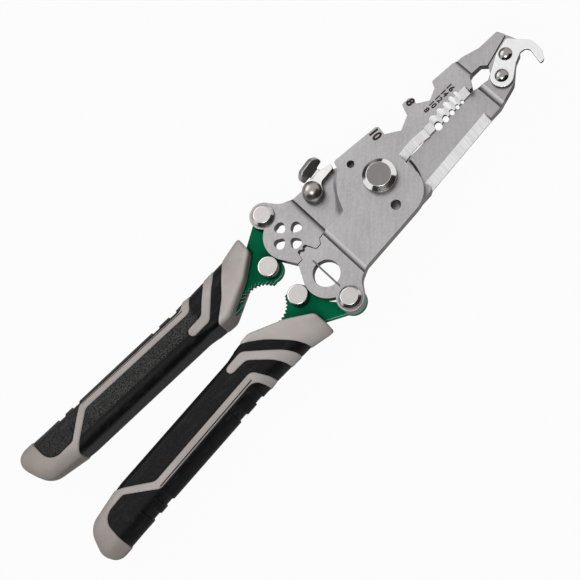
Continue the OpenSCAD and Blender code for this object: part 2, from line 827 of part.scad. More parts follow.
module grip_form() {
    difference() {
        union() {
            hull() {
                outer_puck(-76.5, 4);
                inner_puck(-78, 6);
                inner_puck(grip_end_x + 18, 8);
                end_puck(grip_end_x + 8.2, 7.8, 7);
                end_puck(grip_end_x + 4.9, 4.9, 4.8);
            }
            hull() {
                puck(-48.9, 17.5, 1.4, mouth_depth, 1.3);
                puck(-49.2, 21, 1.7, mouth_depth, 1.3);
                collar_waist();
            }
            hull() {
                collar_waist();
                puck(-69.3, 7.6, 3, grip_depth - 0.4, 2.6);
                puck(-76, grip_inner(-76) + 4.6, 4.5, grip_depth - 0.4, 2.8);
                puck(-76, 16.4, 4.5, grip_depth - 0.4, 2.8);
            }
        }
        for (x = [-81.3, -89.1, -126, -132.3])
            translate([x, grip_outer(x) + groove_r - groove_depth, 0])
                cylinder(r = groove_r, h = grip_depth * 0.7, center = true, $fn = 24);
    }
}

// Grey shape seen from the front: collar, hooked stripe, long line and end cap
collar_patch = [
    [-40, 30, 0], [-54, 26, 0], [-58.7, 18.4, 20], [-65.7, 10.5, 20],
    [-73, 4.8, 2], [-73.4, -5, 0], [-40, -5, 0]
];
hook_patch = [
    [-58.6, 26, 0], [-62.5, 18.8, 20], [-74, 7.7, 3], [-82, 7.9, 1.5],
    [-82, 11, 1.5], [-74.8, 11.1, 3], [-67.4, 18.6, 20], [-63.4, 26, 0]
];
line_patch = [
    [-69.6, 26, 0],
    [-76.4, 15, 3],
    [-123.8, 17.8, 3],
    [-136, 9, 0.5],
    [-136, -5, 0],
    [-160, -5, 0],
    [-160, 36, 0],
    [-145.6, 36, 0],
    [-144.8, 13.4, 5],
    [-134.6, 12.9, 2],
    [-124.4, 17.8 + line_w, 3],
    [-78, 15 + line_w, 4],
    [-73, 26, 0]
];

module grey_patches() {
    linear_extrude(height = 60, center = true) {
        polygon(rounded(collar_patch));
        polygon(rounded(hook_patch));
        polygon(rounded(line_patch));
    }
}

// The lever's shape, which the moulded grip closes on
module tang_space() {
    translate([0, 0, lever_back_z - 0.01]) linear_extrude(height = lever_t + 0.02) lever_2d();
}

module grip_body(s) {
    color(grey_grip) lift() side(s) difference() {
        intersection() {
            translate([0, 0, grip_z]) grip_form();
            grey_patches();
        }
        tang_space();
    }
}

module grip_pad(s) {
    color(black_grip) lift() side(s) difference() {
        translate([0, 0, grip_z]) grip_form();
        grey_patches();
        tang_space();
    }
}

front_jaw_plate();
rear_jaw_plate();
pivot_bolt();
pivot_nut();
pivot_washer();
jaw_spring();
splitter_blade();
hook_blade();
hook_rivets();
lock_lever();
lock_rivet();
lock_washer();
fold_rivet(1);  // left_fold_rivet
fold_washer(1);  // left_fold_washer
lever(1);  // left_lever
stop_pin(1);  // left_stop_pin
grip_body(1);  // left_grip_body
grip_pad(1);  // left_grip_pad
fold_rivet(-1);  // right_fold_rivet
fold_washer(-1);  // right_fold_washer
lever(-1);  // right_lever
stop_pin(-1);  // right_stop_pin
grip_body(-1);  // right_grip_body
grip_pad(-1);  // right_grip_pad
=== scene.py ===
import json
import math

import bmesh
import bpy
import numpy as np
from mathutils import Matrix, Vector, geometry

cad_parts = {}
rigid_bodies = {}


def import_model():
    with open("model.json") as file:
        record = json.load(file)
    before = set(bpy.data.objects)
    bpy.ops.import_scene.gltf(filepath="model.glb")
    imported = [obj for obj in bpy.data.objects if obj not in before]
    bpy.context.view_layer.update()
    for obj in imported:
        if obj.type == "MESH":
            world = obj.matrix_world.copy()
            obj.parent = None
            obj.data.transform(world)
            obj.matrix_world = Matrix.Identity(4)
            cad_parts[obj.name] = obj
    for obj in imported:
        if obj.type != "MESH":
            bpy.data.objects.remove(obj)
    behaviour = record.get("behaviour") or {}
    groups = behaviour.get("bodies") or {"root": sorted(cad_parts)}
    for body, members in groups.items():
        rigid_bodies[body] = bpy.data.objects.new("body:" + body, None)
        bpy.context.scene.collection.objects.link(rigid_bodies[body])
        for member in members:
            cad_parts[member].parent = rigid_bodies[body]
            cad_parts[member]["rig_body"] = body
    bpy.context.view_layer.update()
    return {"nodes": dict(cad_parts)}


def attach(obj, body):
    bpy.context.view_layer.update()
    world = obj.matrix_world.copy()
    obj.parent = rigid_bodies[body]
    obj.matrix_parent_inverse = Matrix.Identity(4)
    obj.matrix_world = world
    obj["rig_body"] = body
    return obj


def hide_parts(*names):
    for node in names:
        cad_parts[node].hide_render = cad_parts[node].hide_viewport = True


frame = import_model()
MM = 0.001

# Camera
# The tool is photographed from above its front face, from 20 degrees towards the lower handle,
# with its jaws towards the upper right corner of a square picture.
PICTURE_WIDTH = 193.3 * MM
PICTURE_DISTANCE = 550 * MM
right = Vector((0.6956, -0.6823, -0.2253))
up = Vector((0.7179, 0.6469, 0.2573))
towards = right.cross(up).normalized()
# The picture's middle, as seen from the top of the pivot
PIVOT_TOP = Vector((0, 0, 10.1))
AIM_LEFT, AIM_DOWN = 30.07, 37.67
aim = (PIVOT_TOP - right * AIM_LEFT - up * AIM_DOWN) * MM
scene = bpy.context.scene


def put(data, name):
    """An object for a mesh, a lamp or a camera, at the origin."""
    made = bpy.data.objects.new(name, data)
    scene.collection.objects.link(made)
    return made


camera = put(bpy.data.cameras.new("camera"), "camera")
camera.matrix_world = (
    Matrix.Translation(aim + towards * PICTURE_DISTANCE)
    @ Matrix((right, up, towards)).transposed().to_4x4()
)
camera.data.lens = camera.data.sensor_width * PICTURE_DISTANCE / PICTURE_WIDTH
camera.data.clip_start = 10 * MM
camera.data.clip_end = 20
scene.camera = camera
scene.view_settings.view_transform = "Standard"


# Floor and light
# A white table under the tool, which keeps its shadow, two soft boxes above it, and a dark curtain
# round it that only reflections show, as a photographer of bright metal puts one up.
class Value:
    """A socket of a tree. Arithmetic on it adds Math nodes to that tree."""

    def __init__(self, tree, socket):
        self.tree, self.socket = tree, socket

    def _maths(self, operation, first, second=0.0):
        return self.tree.node("ShaderNodeMath", {0: first, 1: second}, operation=operation)

    def __add__(self, other): return self._maths("ADD", self, other)
    def __radd__(self, other): return self._maths("ADD", other, self)
    def __sub__(self, other): return self._maths("SUBTRACT", self, other)
    def __rsub__(self, other): return self._maths("SUBTRACT", other, self)
    def __mul__(self, other): return self._maths("MULTIPLY", self, other)
    def __rmul__(self, other): return self._maths("MULTIPLY", other, self)
    def __truediv__(self, other): return self._maths("DIVIDE", self, other)
    def __rtruediv__(self, other): return self._maths("DIVIDE", other, self)
    def __gt__(self, other): return self._maths("GREATER_THAN", self, other)
    def __abs__(self): return self._maths("ABSOLUTE", self)

    def most(self, other):
        """The larger of two numbers."""
        return self._maths("MAXIMUM", self, other)

    def step(self, low, high):
        """0 below low, 1 above high, and a smooth rise between them."""
        return self.tree.node(
            "ShaderNodeMapRange", {"Value": self, "From Min": low, "From Max": high},
            interpolation_type="SMOOTHSTEP",
        )


class Nodes:
    """A node tree to which nodes are added one by one."""

    def __init__(self, tree):
        self.tree = tree
        self.tree.nodes.clear()

    def node(self, kind, sockets=None, output=0, **settings):
        """A node of a kind. Its settings are made first, then its sockets are set or linked."""
        made = self.tree.nodes.new(kind)
        for key, value in settings.items():
            setattr(made, key, value)
        for key, value in (sockets or {}).items():
            if isinstance(value, Value):
                self.tree.links.new(value.socket, made.inputs[key])
            else:
                made.inputs[key].default_value = value
        return Value(self, made.outputs[output]) if made.outputs else None

    def part(self, vector, axis):
        """One part of a vector, along X, Y or Z."""
        return self.node("ShaderNodeSeparateXYZ", {0: vector}, axis)

    def plan_length(self, vector):
        """How long a vector is, seen from the front."""
        flat = self.node("ShaderNodeVectorMath", {0: vector, 1: (1, 1, 0)}, operation="MULTIPLY")
        return self.node("ShaderNodeVectorMath", {0: flat}, "Value", operation="LENGTH")


class Finish(Nodes):
    """A node material, or the world, written as expressions."""

    def __init__(self, name, owner=None):
        self.owner = owner or bpy.data.materials.new(name)
        self.owner.use_nodes = True
        super().__init__(self.owner.node_tree)

    def mix(self, factor, first, second):
        """A colour between two."""
        return self.node("ShaderNodeMix", {0: factor, 6: first, 7: second}, 2, data_type="RGBA")

    def spot(self):
        """The point on the piece, in metres."""
        return self.node("ShaderNodeTexCoord", output="Object")

    def place(self, cell, turn=0.0):
        """The point on the piece, counted in cells turned about Z. A cell has one size in mm, or
        one for each of its axes."""
        return self.node(
            "ShaderNodeMapping",
            {"Vector": self.spot(), "Rotation": (0, 0, turn), "Scale": np.full(3, cell) * MM},
            vector_type="TEXTURE",
        )

    def noise(self, cell, detail=3.0, turn=0.0):
        """Cloudy grey whose clouds are as large as a cell."""
        return self.node("ShaderNodeTexNoise", {
            "Vector": self.place(cell, turn), "Scale": 1.0, "Detail": detail, "Roughness": 0.55,
        })

    def bump(self, height, distance):
        """Relief that is distance mm high where height is 1."""
        return self.node("ShaderNodeBump", {"Height": height, "Distance": distance * MM})

    def surface(self, **sockets):
        """The finished material, from the settings of its surface."""
        names = {k.replace("_", " ").title().replace("Ior", "IOR"): v for k, v in sockets.items()}
        self.output(self.node("ShaderNodeBsdfPrincipled", names))
        return self.owner

    def output(self, shader):
        kind = "World" if isinstance(self.owner, bpy.types.World) else "Material"
        self.node(f"ShaderNodeOutput{kind}", {"Surface": shader})


def backdrop_share(finish, amount, glossy):
    """How much of a white backdrop a ray sees. Glossy rays have a share of their own."""
    seen = 0.0
    for ray, share in (
        ("Is Camera Ray", amount), ("Is Glossy Ray", glossy), ("Is Transmission Ray", amount)
    ):
        seen = (finish.node("ShaderNodeLightPath", output=ray) * share).most(seen)
    return seen


FLOOR_Z = -4.9 * MM
FLOOR_HALF = 6.0
floor_mesh = bpy.data.meshes.new("floor")
floor_mesh.from_pydata(
    [(x * FLOOR_HALF, y * FLOOR_HALF, FLOOR_Z) for x, y in ((-1, -1), (1, -1), (1, 1), (-1, 1))],
    [], [(0, 1, 2, 3)],
)
floor = put(floor_mesh, "floor")
table_white = Finish("table_white")
paper = table_white.node("ShaderNodeBsdfDiffuse", {"Color": (0.25, 0.25, 0.25, 1)})
glow = table_white.node("ShaderNodeEmission", {"Color": (1, 1, 1, 1)})
table_white.output(table_white.node(
    "ShaderNodeMixShader", {0: backdrop_share(table_white, 0.96, 0.55), 1: paper, 2: glow}
))
floor_mesh.materials.append(table_white.owner)

scene.world = bpy.data.worlds.new("studio")
studio = Finish("studio", scene.world)
# The soft light comes mostly from overhead
SKY_LOW, SKY_RISE = 0.08, 0.56
sky_height = studio.part(studio.node("ShaderNodeTexCoord", output="Generated"), "Z")
soft = studio.node(
    "ShaderNodeBackground",
    {"Color": (1, 1, 1, 1), "Strength": SKY_LOW + sky_height.step(-0.2, 1.0) * SKY_RISE},
)
white = studio.node("ShaderNodeBackground", {"Color": (1, 1, 1, 1)})
studio.output(studio.node(
    "ShaderNodeMixShader", {0: backdrop_share(studio, 1.0, 1.0), 1: soft, 2: white}
))

TOOL_MIDDLE = Vector((-40, 0, 0)) * MM


def soft_box(name, direction, distance, size, watts):
    """A rectangular lamp that looks at the middle of the tool."""
    lamp = bpy.data.lights.new(name, "AREA")
    lamp.shape, lamp.size, lamp.size_y = "RECTANGLE", size[0], size[1]
    lamp.energy = watts
    away = Vector(direction).normalized()
    turn = (-away).to_track_quat("-Z", "Y").to_matrix().to_4x4()
    put(lamp, name).matrix_world = Matrix.Translation(TOOL_MIDDLE + away * distance) @ turn


soft_box("key_box", (-0.2, 0.72, 0.66), 1.25, (1.2, 0.8), 5.6)
soft_box("fill_box", (-0.36, -0.48, 0.8), 1.2, (0.6, 0.5), 6.2)

# The curtain's top edge, as direction round the tool and elevation, in degrees
CURTAIN_TOP = ([44, 48, 132, 137, 172, 182, 325, 335], [0, 15, 15, 0, 0, 46, 46, 0])
CURTAIN_RADIUS = 0.4
CURTAIN_STEP = 3
curtain_verts = []
for azimuth in range(CURTAIN_TOP[0][0], CURTAIN_TOP[0][-1] + 1, CURTAIN_STEP):
    turn = math.radians(azimuth)
    top = CURTAIN_RADIUS * math.tan(math.radians(np.interp(azimuth, *CURTAIN_TOP)))
    curtain_verts += [
        (CURTAIN_RADIUS * math.cos(turn), CURTAIN_RADIUS * math.sin(turn), height)
        for height in (FLOOR_Z, top)
    ]
curtain_mesh = bpy.data.meshes.new("dark_curtain")
curtain_mesh.from_pydata(
    curtain_verts, [],
    [(i, i + 1, i + 3, i + 2) for i in range(0, len(curtain_verts) - 2, 2)],
)
curtain = put(curtain_mesh, "dark_curtain")
felt = Finish("dark_felt")
felt.output(felt.node("ShaderNodeEmission", {"Color": (0.02, 0.02, 0.02, 1)}))
curtain_mesh.materials.append(felt.owner)
for ray in ("camera", "diffuse", "shadow", "transmission", "volume_scatter"):
    setattr(curtain, "visible_" + ray, False)

# Jaw plates
# Two plates of brushed steel, cut, ground along their edges and bent at tails and tips, that
# cross on the pivot. Their edges are broken by a small chamfer.
SHARP, NEARLY_FLAT = math.radians(31), math.radians(0.6)
WELD = 2e-6


def smoothed(mesh, angle=SHARP):
    """The mesh is shaded smooth, apart from edges sharper than an angle."""
    mesh.shade_smooth()
    mesh.set_sharp_from_angle(angle=angle)


def stand_for(piece, node):
    """The piece stands for a CAD node, on the node's body."""
    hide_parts(node)
    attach(piece, frame["nodes"][node]["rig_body"])


def dressed(node, finishes, bevel=0.12, segments=2, paint=None, trim=None):
    """A merged copy of a CAD node with broken edges. paint(face) says which finish a face takes,
    and trim(vertex) may move a corner."""
    mesh = frame["nodes"][node].data.copy()
    mesh.materials.clear()
    for finish in finishes:
        mesh.materials.append(finish)
    form = bmesh.new()
    form.from_mesh(mesh)
    bmesh.ops.remove_doubles(form, verts=form.verts, dist=WELD)
    bmesh.ops.dissolve_degenerate(form, edges=form.edges, dist=WELD / 2)
    if trim:
        for vertex in form.verts:
            trim(vertex)
    for face in form.faces:
        face.material_index = paint(face) if paint else 0
    bmesh.ops.dissolve_limit(
        form, angle_limit=NEARLY_FLAT, verts=form.verts, edges=form.edges, delimit={"MATERIAL"}
    )
    form.to_mesh(mesh)
    form.free()
    smoothed(mesh)
    piece = put(mesh, node + "_dressed")
    if bevel:
        broken = piece.modifiers.new("broken_edges", "BEVEL")
        broken.width = bevel * MM
        broken.segments = segments
        broken.limit_method = "ANGLE"
        broken.angle_limit = SHARP
        broken.use_clamp_overlap = False
        even = piece.modifiers.new("even_shading", "WEIGHTED_NORMAL")
        even.keep_sharp = False
    stand_for(piece, node)


def rgb(red, green, blue):
    """A colour given as it looks on a screen, 0 to 255."""
    def linear(c):
        c /= 255
        return c / 12.92 if c <= 0.04045 else ((c + 0.055) / 1.055) ** 2.4
    return (linear(red), linear(green), linear(blue), 1.0)


def toned(finish, tone, colour, shade):
    """A colour that runs from a share darker at tone 0 to the same share paler at tone 1."""
    dark, pale = (
        [min(1.0, c * level) for c in colour[:3]] + [1.0] for level in (1 - shade, 1 + shade)
    )
    return finish.mix(tone, dark, pale)


def brushed(name, colour, grain=(5, 0.12, 0.12), turn=0.0, rough=0.34, shade=0.05, depth=0.01,
            shadow=None):
    """Steel with a straight brushed grain. grain is the size of its streaks in mm, and shadow
    may darken a place."""
    finish = Finish(name)
    fine = finish.noise(grain, 4.0, turn)
    broad = finish.noise((grain[0] * 2.8, grain[1] * 7, grain[2] * 7), 2.0, turn)
    cloud = finish.noise(12)
    mottle = finish.noise((1.1, 0.7, 1.1), 4.0)
    tone = (fine * 0.3 + broad * 0.2 + cloud * 0.2 + mottle * 0.3).step(0.38, 0.62)
    shown = toned(finish, tone, colour, shade)
    if shadow:
        shown = finish.mix(shadow(finish), shown, rgb(44, 42, 41))
    return finish.surface(
        base_color=shown,
        metallic=1.0,
        roughness=(rough - 0.05) + (fine * 0.6 + cloud * 0.4) * 0.1,
        normal=finish.bump(fine, depth),
    )


GRAIN_TURN = math.radians(42)
SAWN_GRAIN = (0.3, 0.3, 2.5)
steel = brushed("brushed_steel", rgb(164, 162, 163), turn=GRAIN_TURN, shade=0.11)
# The sawn walls keep a sawn grain but are painted dark as shade, those along the lower edge are
# painted paler where light falls on them, and the screw holes are painted nearly black as shade
cut_steel = brushed("cut_steel", rgb(66, 64, 63), grain=SAWN_GRAIN, rough=0.45, shade=0.16)
edge_steel = brushed("edge_steel", rgb(126, 124, 122), grain=SAWN_GRAIN, rough=0.45, shade=0.12)
hole_steel = brushed("hole_steel", rgb(20, 18, 17), grain=(0.5, 0.5, 0.3), rough=0.4, shade=0.3)


def along_axis(finish, axis):
    """How far along X, Y or Z the point lies, in mm."""
    return finish.part(finish.spot(), axis) / MM


def plan_reach(finish, centre):
    """How far the point lies from a centre seen from the front, in mm."""
    return finish.plan_length(finish.node(
        "ShaderNodeVectorMath", {0: finish.spot(), 1: (centre[0] * MM, centre[1] * MM, 0)},
        operation="SUBTRACT",
    )) / MM


# Painted shade lies on the rear plate along the front plate's edge, where its shadow falls: a
# track that widens towards its lower end on the lock's side, and a thin line on the other
TRACK_CENTRE, TRACK_RADIUS = (4.32, -2.70), 20.9
LINE_CENTRE, LINE_RADIUS = (-4.5, -1.5), 15.65


def painted_edge_shade(finish):
    """1 where the painted shade of the track or the line is darkest."""
    x, y = along_axis(finish, "X"), along_axis(finish, "Y")
    width = 2.5 - y.step(3.0, 9.0) * 1.7
    off_track = plan_reach(finish, TRACK_CENTRE) - TRACK_RADIUS - width * 0.4
    track = (1 - abs(off_track / width).step(0.2, 1.0)) * y.step(1.6, 3.2) * (1 - y.step(10, 15))
    line = 1 - abs(plan_reach(finish, LINE_CENTRE) - LINE_RADIUS).step(0.28, 0.6)
    return track * (1 - x.step(-8, -4)) * 0.62 + line * x.step(2, 4) * (1 - y.step(-2.4, -1.4))


rear_steel = brushed(
    "rubbed_steel", rgb(160, 158, 159), turn=GRAIN_TURN, shade=0.11, shadow=painted_edge_shade
)


def bent(name, low):
    """Steel on a bend that starts low mm above the back: painted shade darkens its foot, and a
    painted highlight brightens its top."""
    finish = Finish(name)
    fine = finish.noise((5, 0.12, 0.12), 4.0, GRAIN_TURN)
    rise = (along_axis(finish, "Z") - low + fine * 0.2).step(0.35, 1.6)
    return finish.surface(
        base_color=finish.mix(rise, rgb(66, 64, 64), rgb(198, 196, 197)),
        metallic=0.25,
        roughness=0.4 + fine * 0.15,
        normal=finish.bump(fine, 0.01),
    )


front_bend, rear_bend = bent("front_bend_steel", 8.35), bent("rear_bend_steel", 6.55)

# A ground face is bright and shows the cross marks of the wheel
ground = Finish("ground_steel")
wheel = ground.noise((0.9, 20, 20))
ground_steel = ground.surface(
    base_color=ground.mix(wheel.step(0.42, 0.62), rgb(243, 242, 242), rgb(254, 254, 254)),
    roughness=0.3 + wheel * 0.14,
    normal=ground.bump(wheel, 0.02),
)


# A plate's finishes, in the order in which dressed() is given them
FLAT, GROUND, SHADED_WALL, SHADED_HOLE, LIT_EDGE, BEND = range(6)
WALL_RISE, FLAT_RISE = 0.05, 0.985
SCREW_REACH = 2.3
LOWER_EDGE_Y = -12
# Where the plates are ground, as lowest and highest x and lowest and highest y
FRONT_CUTTER = (9, 43, -3, 6)
REAR_CUTTER = (9, 43, -9, 1)
KNIFE_EDGE = (7, 42, -30, -9)


def plate_paint(ground_boxes, screws):
    """Ground faces, sawn walls, screw holes and bends take their own finishes: walls and holes in
    painted shade, bends with painted shade and highlight.
    """
    def paint(face):
        rise = abs(face.normal.z)
        middle = face.calc_center_median() / MM
        if rise < WALL_RISE:
            near = min(math.hypot(middle.x - x, middle.y - y) for x, y in screws)
            return SHADED_HOLE if near < SCREW_REACH else LIT_EDGE if middle.y < LOWER_EDGE_Y else SHADED_WALL
        if rise >= FLAT_RISE:
            return FLAT
        for x_low, x_high, y_low, y_high in ground_boxes:
            if x_low < middle.x < x_high and y_low < middle.y < y_high:
                return GROUND
        return BEND
    return paint


# The rear plate's screw holes are those of the front plate, turned round the pivot
REAR_SCREW_TURN = Matrix.Rotation(math.radians(15), 2)
FRONT_SCREWS = (Vector((-3.4, 10.8)), Vector((-3.4, -10.8)))
REAR_SCREWS = [REAR_SCREW_TURN @ screw for screw in FRONT_SCREWS]
dressed("front_jaw_plate", [steel, ground_steel, cut_steel, hole_steel, edge_steel, front_bend],
        paint=plate_paint([FRONT_CUTTER], FRONT_SCREWS))
dressed("rear_jaw_plate", [rear_steel, ground_steel, cut_steel, hole_steel, edge_steel, rear_bend],
        paint=plate_paint([REAR_CUTTER, KNIFE_EDGE], REAR_SCREWS))

# Size numbers
# The hole and notch sizes are etched dark into the front plate, each upright when the jaws
# point up. They stand a hair above the face so that they show.
FACE_Z = 10.15
NUMBERS = [
    # text, x, y, height, width share, slant from -Y in degrees
    ("8", 27.1, 4.7, 1.9, 0.95, 3), ("10", 29.8, 4.5, 2.0, 0.85, 3),
    ("12", 32.6, 4.45, 2.0, 0.85, 3), ("14", 35.3, 4.35, 2.0, 0.85, 3),
    ("16", 38.0, 4.25, 2.1, 0.9, 3), ("8", 25.5, 10.9, 2.9, 1.0, 8),
    ("10", 9.5, 11.9, 3.3, 0.85, 8),
]
NUMBER_DEPTH, STROKE_GROWTH = 0.01, 0.05
# How tall a figure stands in a font of size 1
FIGURE_HEIGHT = 0.72


def plain(maker):
    """The plain mesh that an object comes out as. The object goes."""
    graph = bpy.context.evaluated_depsgraph_get()
    made = bpy.data.meshes.new_from_object(maker.evaluated_get(graph))
    bpy.data.objects.remove(maker)
    return made


number_form = bmesh.new()
for text, x, y, height, width, slant in NUMBERS:
    letters = bpy.data.curves.new("number", "FONT")
    letters.body = text
    letters.align_x = letters.align_y = "CENTER"
    letters.extrude = NUMBER_DEPTH
    letters.offset = STROKE_GROWTH
    shape = plain(put(letters, "number"))
    size = height / FIGURE_HEIGHT * MM
    shape.transform(
        Matrix.Translation(Vector((x, y, FACE_Z)) * MM)
        @ Matrix.Rotation(math.radians(-90 - slant), 4, "Z")
        @ Matrix.Diagonal((size * width, size, MM, 1))
    )
    number_form.from_mesh(shape)
bmesh.ops.remove_doubles(number_form, verts=number_form.verts, dist=WELD / 2)
bmesh.ops.recalc_face_normals(number_form, faces=number_form.faces)
number_mesh = bpy.data.meshes.new("size_numbers")
number_form.to_mesh(number_mesh)
number_form.free()
etched = Finish("etched_marks")
etch_tone = etched.noise(0.5)
number_mesh.materials.append(etched.surface(
    base_color=etched.mix(etch_tone.step(0.35, 0.65), rgb(24, 17, 15), rgb(52, 40, 35)),
    roughness=0.55 + etch_tone * 0.2,
    specular_ior_level=0.2,
))
numbers = put(number_mesh, "size_numbers")
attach(numbers, "front_jaw")


# Pivot
# A headed bolt with a chamfered rim and a round nut on a washer hold the plates together. They
# are turned on a lathe, as every rivet of the tool is, and show the rings of the tool bit.

# A corner stays sharp if half of it is wider than this, or if its round would be shorter
STRAIGHT, SHORTEST = math.radians(88), 0.02


def arc(centre, radius, start, sweep, steps):
    """Points round a centre, from a direction on, over a sweep."""
    first = math.atan2(start[1], start[0])
    angles = [first + sweep * k / steps for k in range(steps + 1)]
    return [centre + radius * np.array((math.cos(a), math.sin(a))) for a in angles]


def rounded(corners, step=0.5):
    """A closed outline whose corners are rounded, each with its own radius."""
    made = []
    count = len(corners)
    spots = [np.array(c[:2], float) for c in corners]
    halves, wants = [], []

    def ways(i):
        """The directions from a corner to its two neighbours."""
        u, v = spots[i - 1] - spots[i], spots[(i + 1) % count] - spots[i]
        return u / np.hypot(*u), v / np.hypot(*v)

    for i in range(count):
        u, v = ways(i)
        half = math.acos(max(-1.0, min(1.0, float(u @ v)))) / 2
        halves.append(half)
        wants.append(0 if half > STRAIGHT else corners[i][2] / math.tan(half))
    shares = [
        min(1.0, 0.98 * np.hypot(*(spots[(i + 1) % count] - spots[i]))
            / max(0.001, wants[i] + wants[(i + 1) % count]))
        for i in range(count)
    ]
    for i in range(count):
        reach = wants[i] * min(shares[i], shares[i - 1])
        if reach < SHORTEST:
            made.append(spots[i])
            continue
        u, v = ways(i)
        radius = reach * math.tan(halves[i])
        middle = (u + v) / np.hypot(*(u + v))
        centre = spots[i] + middle * radius / math.sin(halves[i])
        start = spots[i] + u * reach - centre
        sweep = (-1 if u[0] * v[1] - u[1] * v[0] > 0 else 1) * (math.pi - 2 * halves[i])
        made += arc(centre, radius, start, sweep, max(3, int(abs(sweep) * radius / step)))
    return np.array(made)


class Recipe(Nodes):
    """A Geometry Nodes tree with named inputs."""

    def __init__(self, name, inputs):
        super().__init__(bpy.data.node_groups.new(name, "GeometryNodeTree"))
        socket = self.tree.interface.new_socket
        self.keys = {
            key: socket(key, in_out="INPUT", socket_type="NodeSocket" + kind).identifier
            for key, kind in inputs.items()
        }
        socket("Geometry", in_out="OUTPUT", socket_type="NodeSocketGeometry")
        self.entry = self.tree.nodes.new("NodeGroupInput")

    def given(self, name):
        """An input of the tree."""
        return Value(self, self.entry.outputs[name])

    def made(self, name, start, **inputs):
        """The plain mesh that the tree makes of a starting mesh."""
        maker = put(start, name)
        modifier = maker.modifiers.new("recipe", "NODES")
        modifier.node_group = self.tree
        for key, value in inputs.items():
            modifier[self.keys[key.replace("_", " ").title()]] = value
        made = plain(maker)
        made.name = name
        return made


LATHE_REACH, FACE_TURNED = 10.0, 0.995
lathe = Recipe("lathe", {
    "Geometry": "Geometry", "Rounds": "Int", "Count": "Int", "First Place": "Vector",
    "Step": "Vector", "Rim": "Material", "Face": "Material",
})
tool_path = lathe.node("GeometryNodeMeshToCurve", {0: lathe.given("Geometry")})
circle = lathe.node(
    "GeometryNodeCurvePrimitiveCircle",
    {"Resolution": lathe.given("Rounds"), "Radius": LATHE_REACH * MM}, mode="RADIUS",
)
shell = lathe.node("GeometryNodeCurveToMesh", {"Curve": circle, "Profile Curve": tool_path})
shell = lathe.node("GeometryNodeMergeByDistance", {"Geometry": shell, "Distance": WELD})
radius = lathe.plan_length(lathe.node("GeometryNodeInputPosition"))
shell = lathe.node(
    "GeometryNodeStoreNamedAttribute",
    {"Geometry": shell, "Name": "turn_radius", "Value": radius},
    data_type="FLOAT", domain="POINT",
)
places = lathe.node("GeometryNodeMeshLine", {
    "Count": lathe.given("Count"), "Start Location": lathe.given("First Place"),
    "Offset": lathe.given("Step"),
}, mode="OFFSET")
row = lathe.node("GeometryNodeInstanceOnPoints", {"Points": places, "Instance": shell})
row = lathe.node("GeometryNodeRealizeInstances", {"Geometry": row})
row = lathe.node("GeometryNodeSetMaterial", {"Geometry": row, "Material": lathe.given("Rim")})
facing = lathe.part(lathe.node("GeometryNodeInputNormal"), "Z")
row = lathe.node("GeometryNodeSetMaterial", {
    "Geometry": row, "Selection": abs(facing) > FACE_TURNED, "Material": lathe.given("Face"),
})
lathe.node("NodeGroupOutput", {0: row})


ROUNDS = 96
# How near a stretch's end the point lies that keeps its shading flat, and from what length
EDGE_POINT, LONG_STRETCH = 0.06, 0.5


def turned(node, profile, place, rim, face, count=1, step=(0, 0), ring=False):
    """A turned piece from its profile, given as radius, height and corner radius from the top
    outwards and down. A ring's profile closes on itself."""
    line = rounded(profile, 0.12)
    if ring:
        line = np.vstack([line, line[:1]])
    cut = []
    for here, there in zip(line, line[1:]):
        reach = np.hypot(*(there - here))
        near = EDGE_POINT / reach
        shares = (0, near, 1 - near) if reach > LONG_STRETCH else (0,)
        cut += [here + (there - here) * share for share in shares]
    line = cut + [line[-1]]
    start = bpy.data.meshes.new(node)
    start.from_pydata(
        [((r - LATHE_REACH) * MM, -z * MM, 0) for r, z in line],
        [(k, k + 1) for k in range(len(line) - 1)], [],
    )
    mesh = lathe.made(
        node + "_turned", start, rounds=ROUNDS, count=count,
        first_place=Vector((*place, 0)) * MM, step=Vector((*step, 0)) * MM, rim=rim, face=face,
    )
    smoothed(mesh)
    stand_for(put(mesh, node + "_turned"), node)


RING_SPACING = 0.5


def marked(finish, name):
    """The number that the mesh carries at a point under a name."""
    return finish.node("ShaderNodeAttribute", output="Fac", attribute_name=name)


def lathe_finish(name, colour, rough, shade=0.06, depth=0.006, wall=None):
    """Metal with rings round its axis. wall is the radius from which it is painted dark as shade,
    in mm.
    """
    finish = Finish(name)
    reach = marked(finish, "turn_radius")
    ring = finish.node(
        "ShaderNodeTexNoise", {"W": reach / (RING_SPACING * MM), "Scale": 1.0, "Detail": 3.0},
        noise_dimensions="1D",
    )
    cloud = finish.noise(2.5)
    tone = (ring * 0.6 + cloud * 0.4).step(0.35, 0.65)
    shown = toned(finish, tone, colour, shade)
    if wall:
        shown = finish.mix(reach > wall * MM, shown, rgb(74, 71, 69))
    return finish.surface(
        base_color=shown,
        metallic=1.0,
        roughness=(rough - 0.03) + (ring + cloud) * 0.03,
        normal=finish.bump(ring, depth),
    )


pivot_face = lathe_finish("pivot_face", rgb(122, 119, 118), 0.36, shade=0.05)
# The bolt head's outer wall is painted dark as shade
pivot_rim = lathe_finish("pivot_rim", rgb(226, 223, 221), 0.13, depth=0.001, wall=5.9)
satin = lathe_finish("satin_face", rgb(187, 183, 181), 0.34, shade=0.04)
satin_rim = lathe_finish("satin_rim", rgb(200, 196, 194), 0.2, depth=0.002)
bright = brushed("bright_steel", rgb(205, 201, 197), grain=(1.5, 0.2, 0.2), rough=0.28)

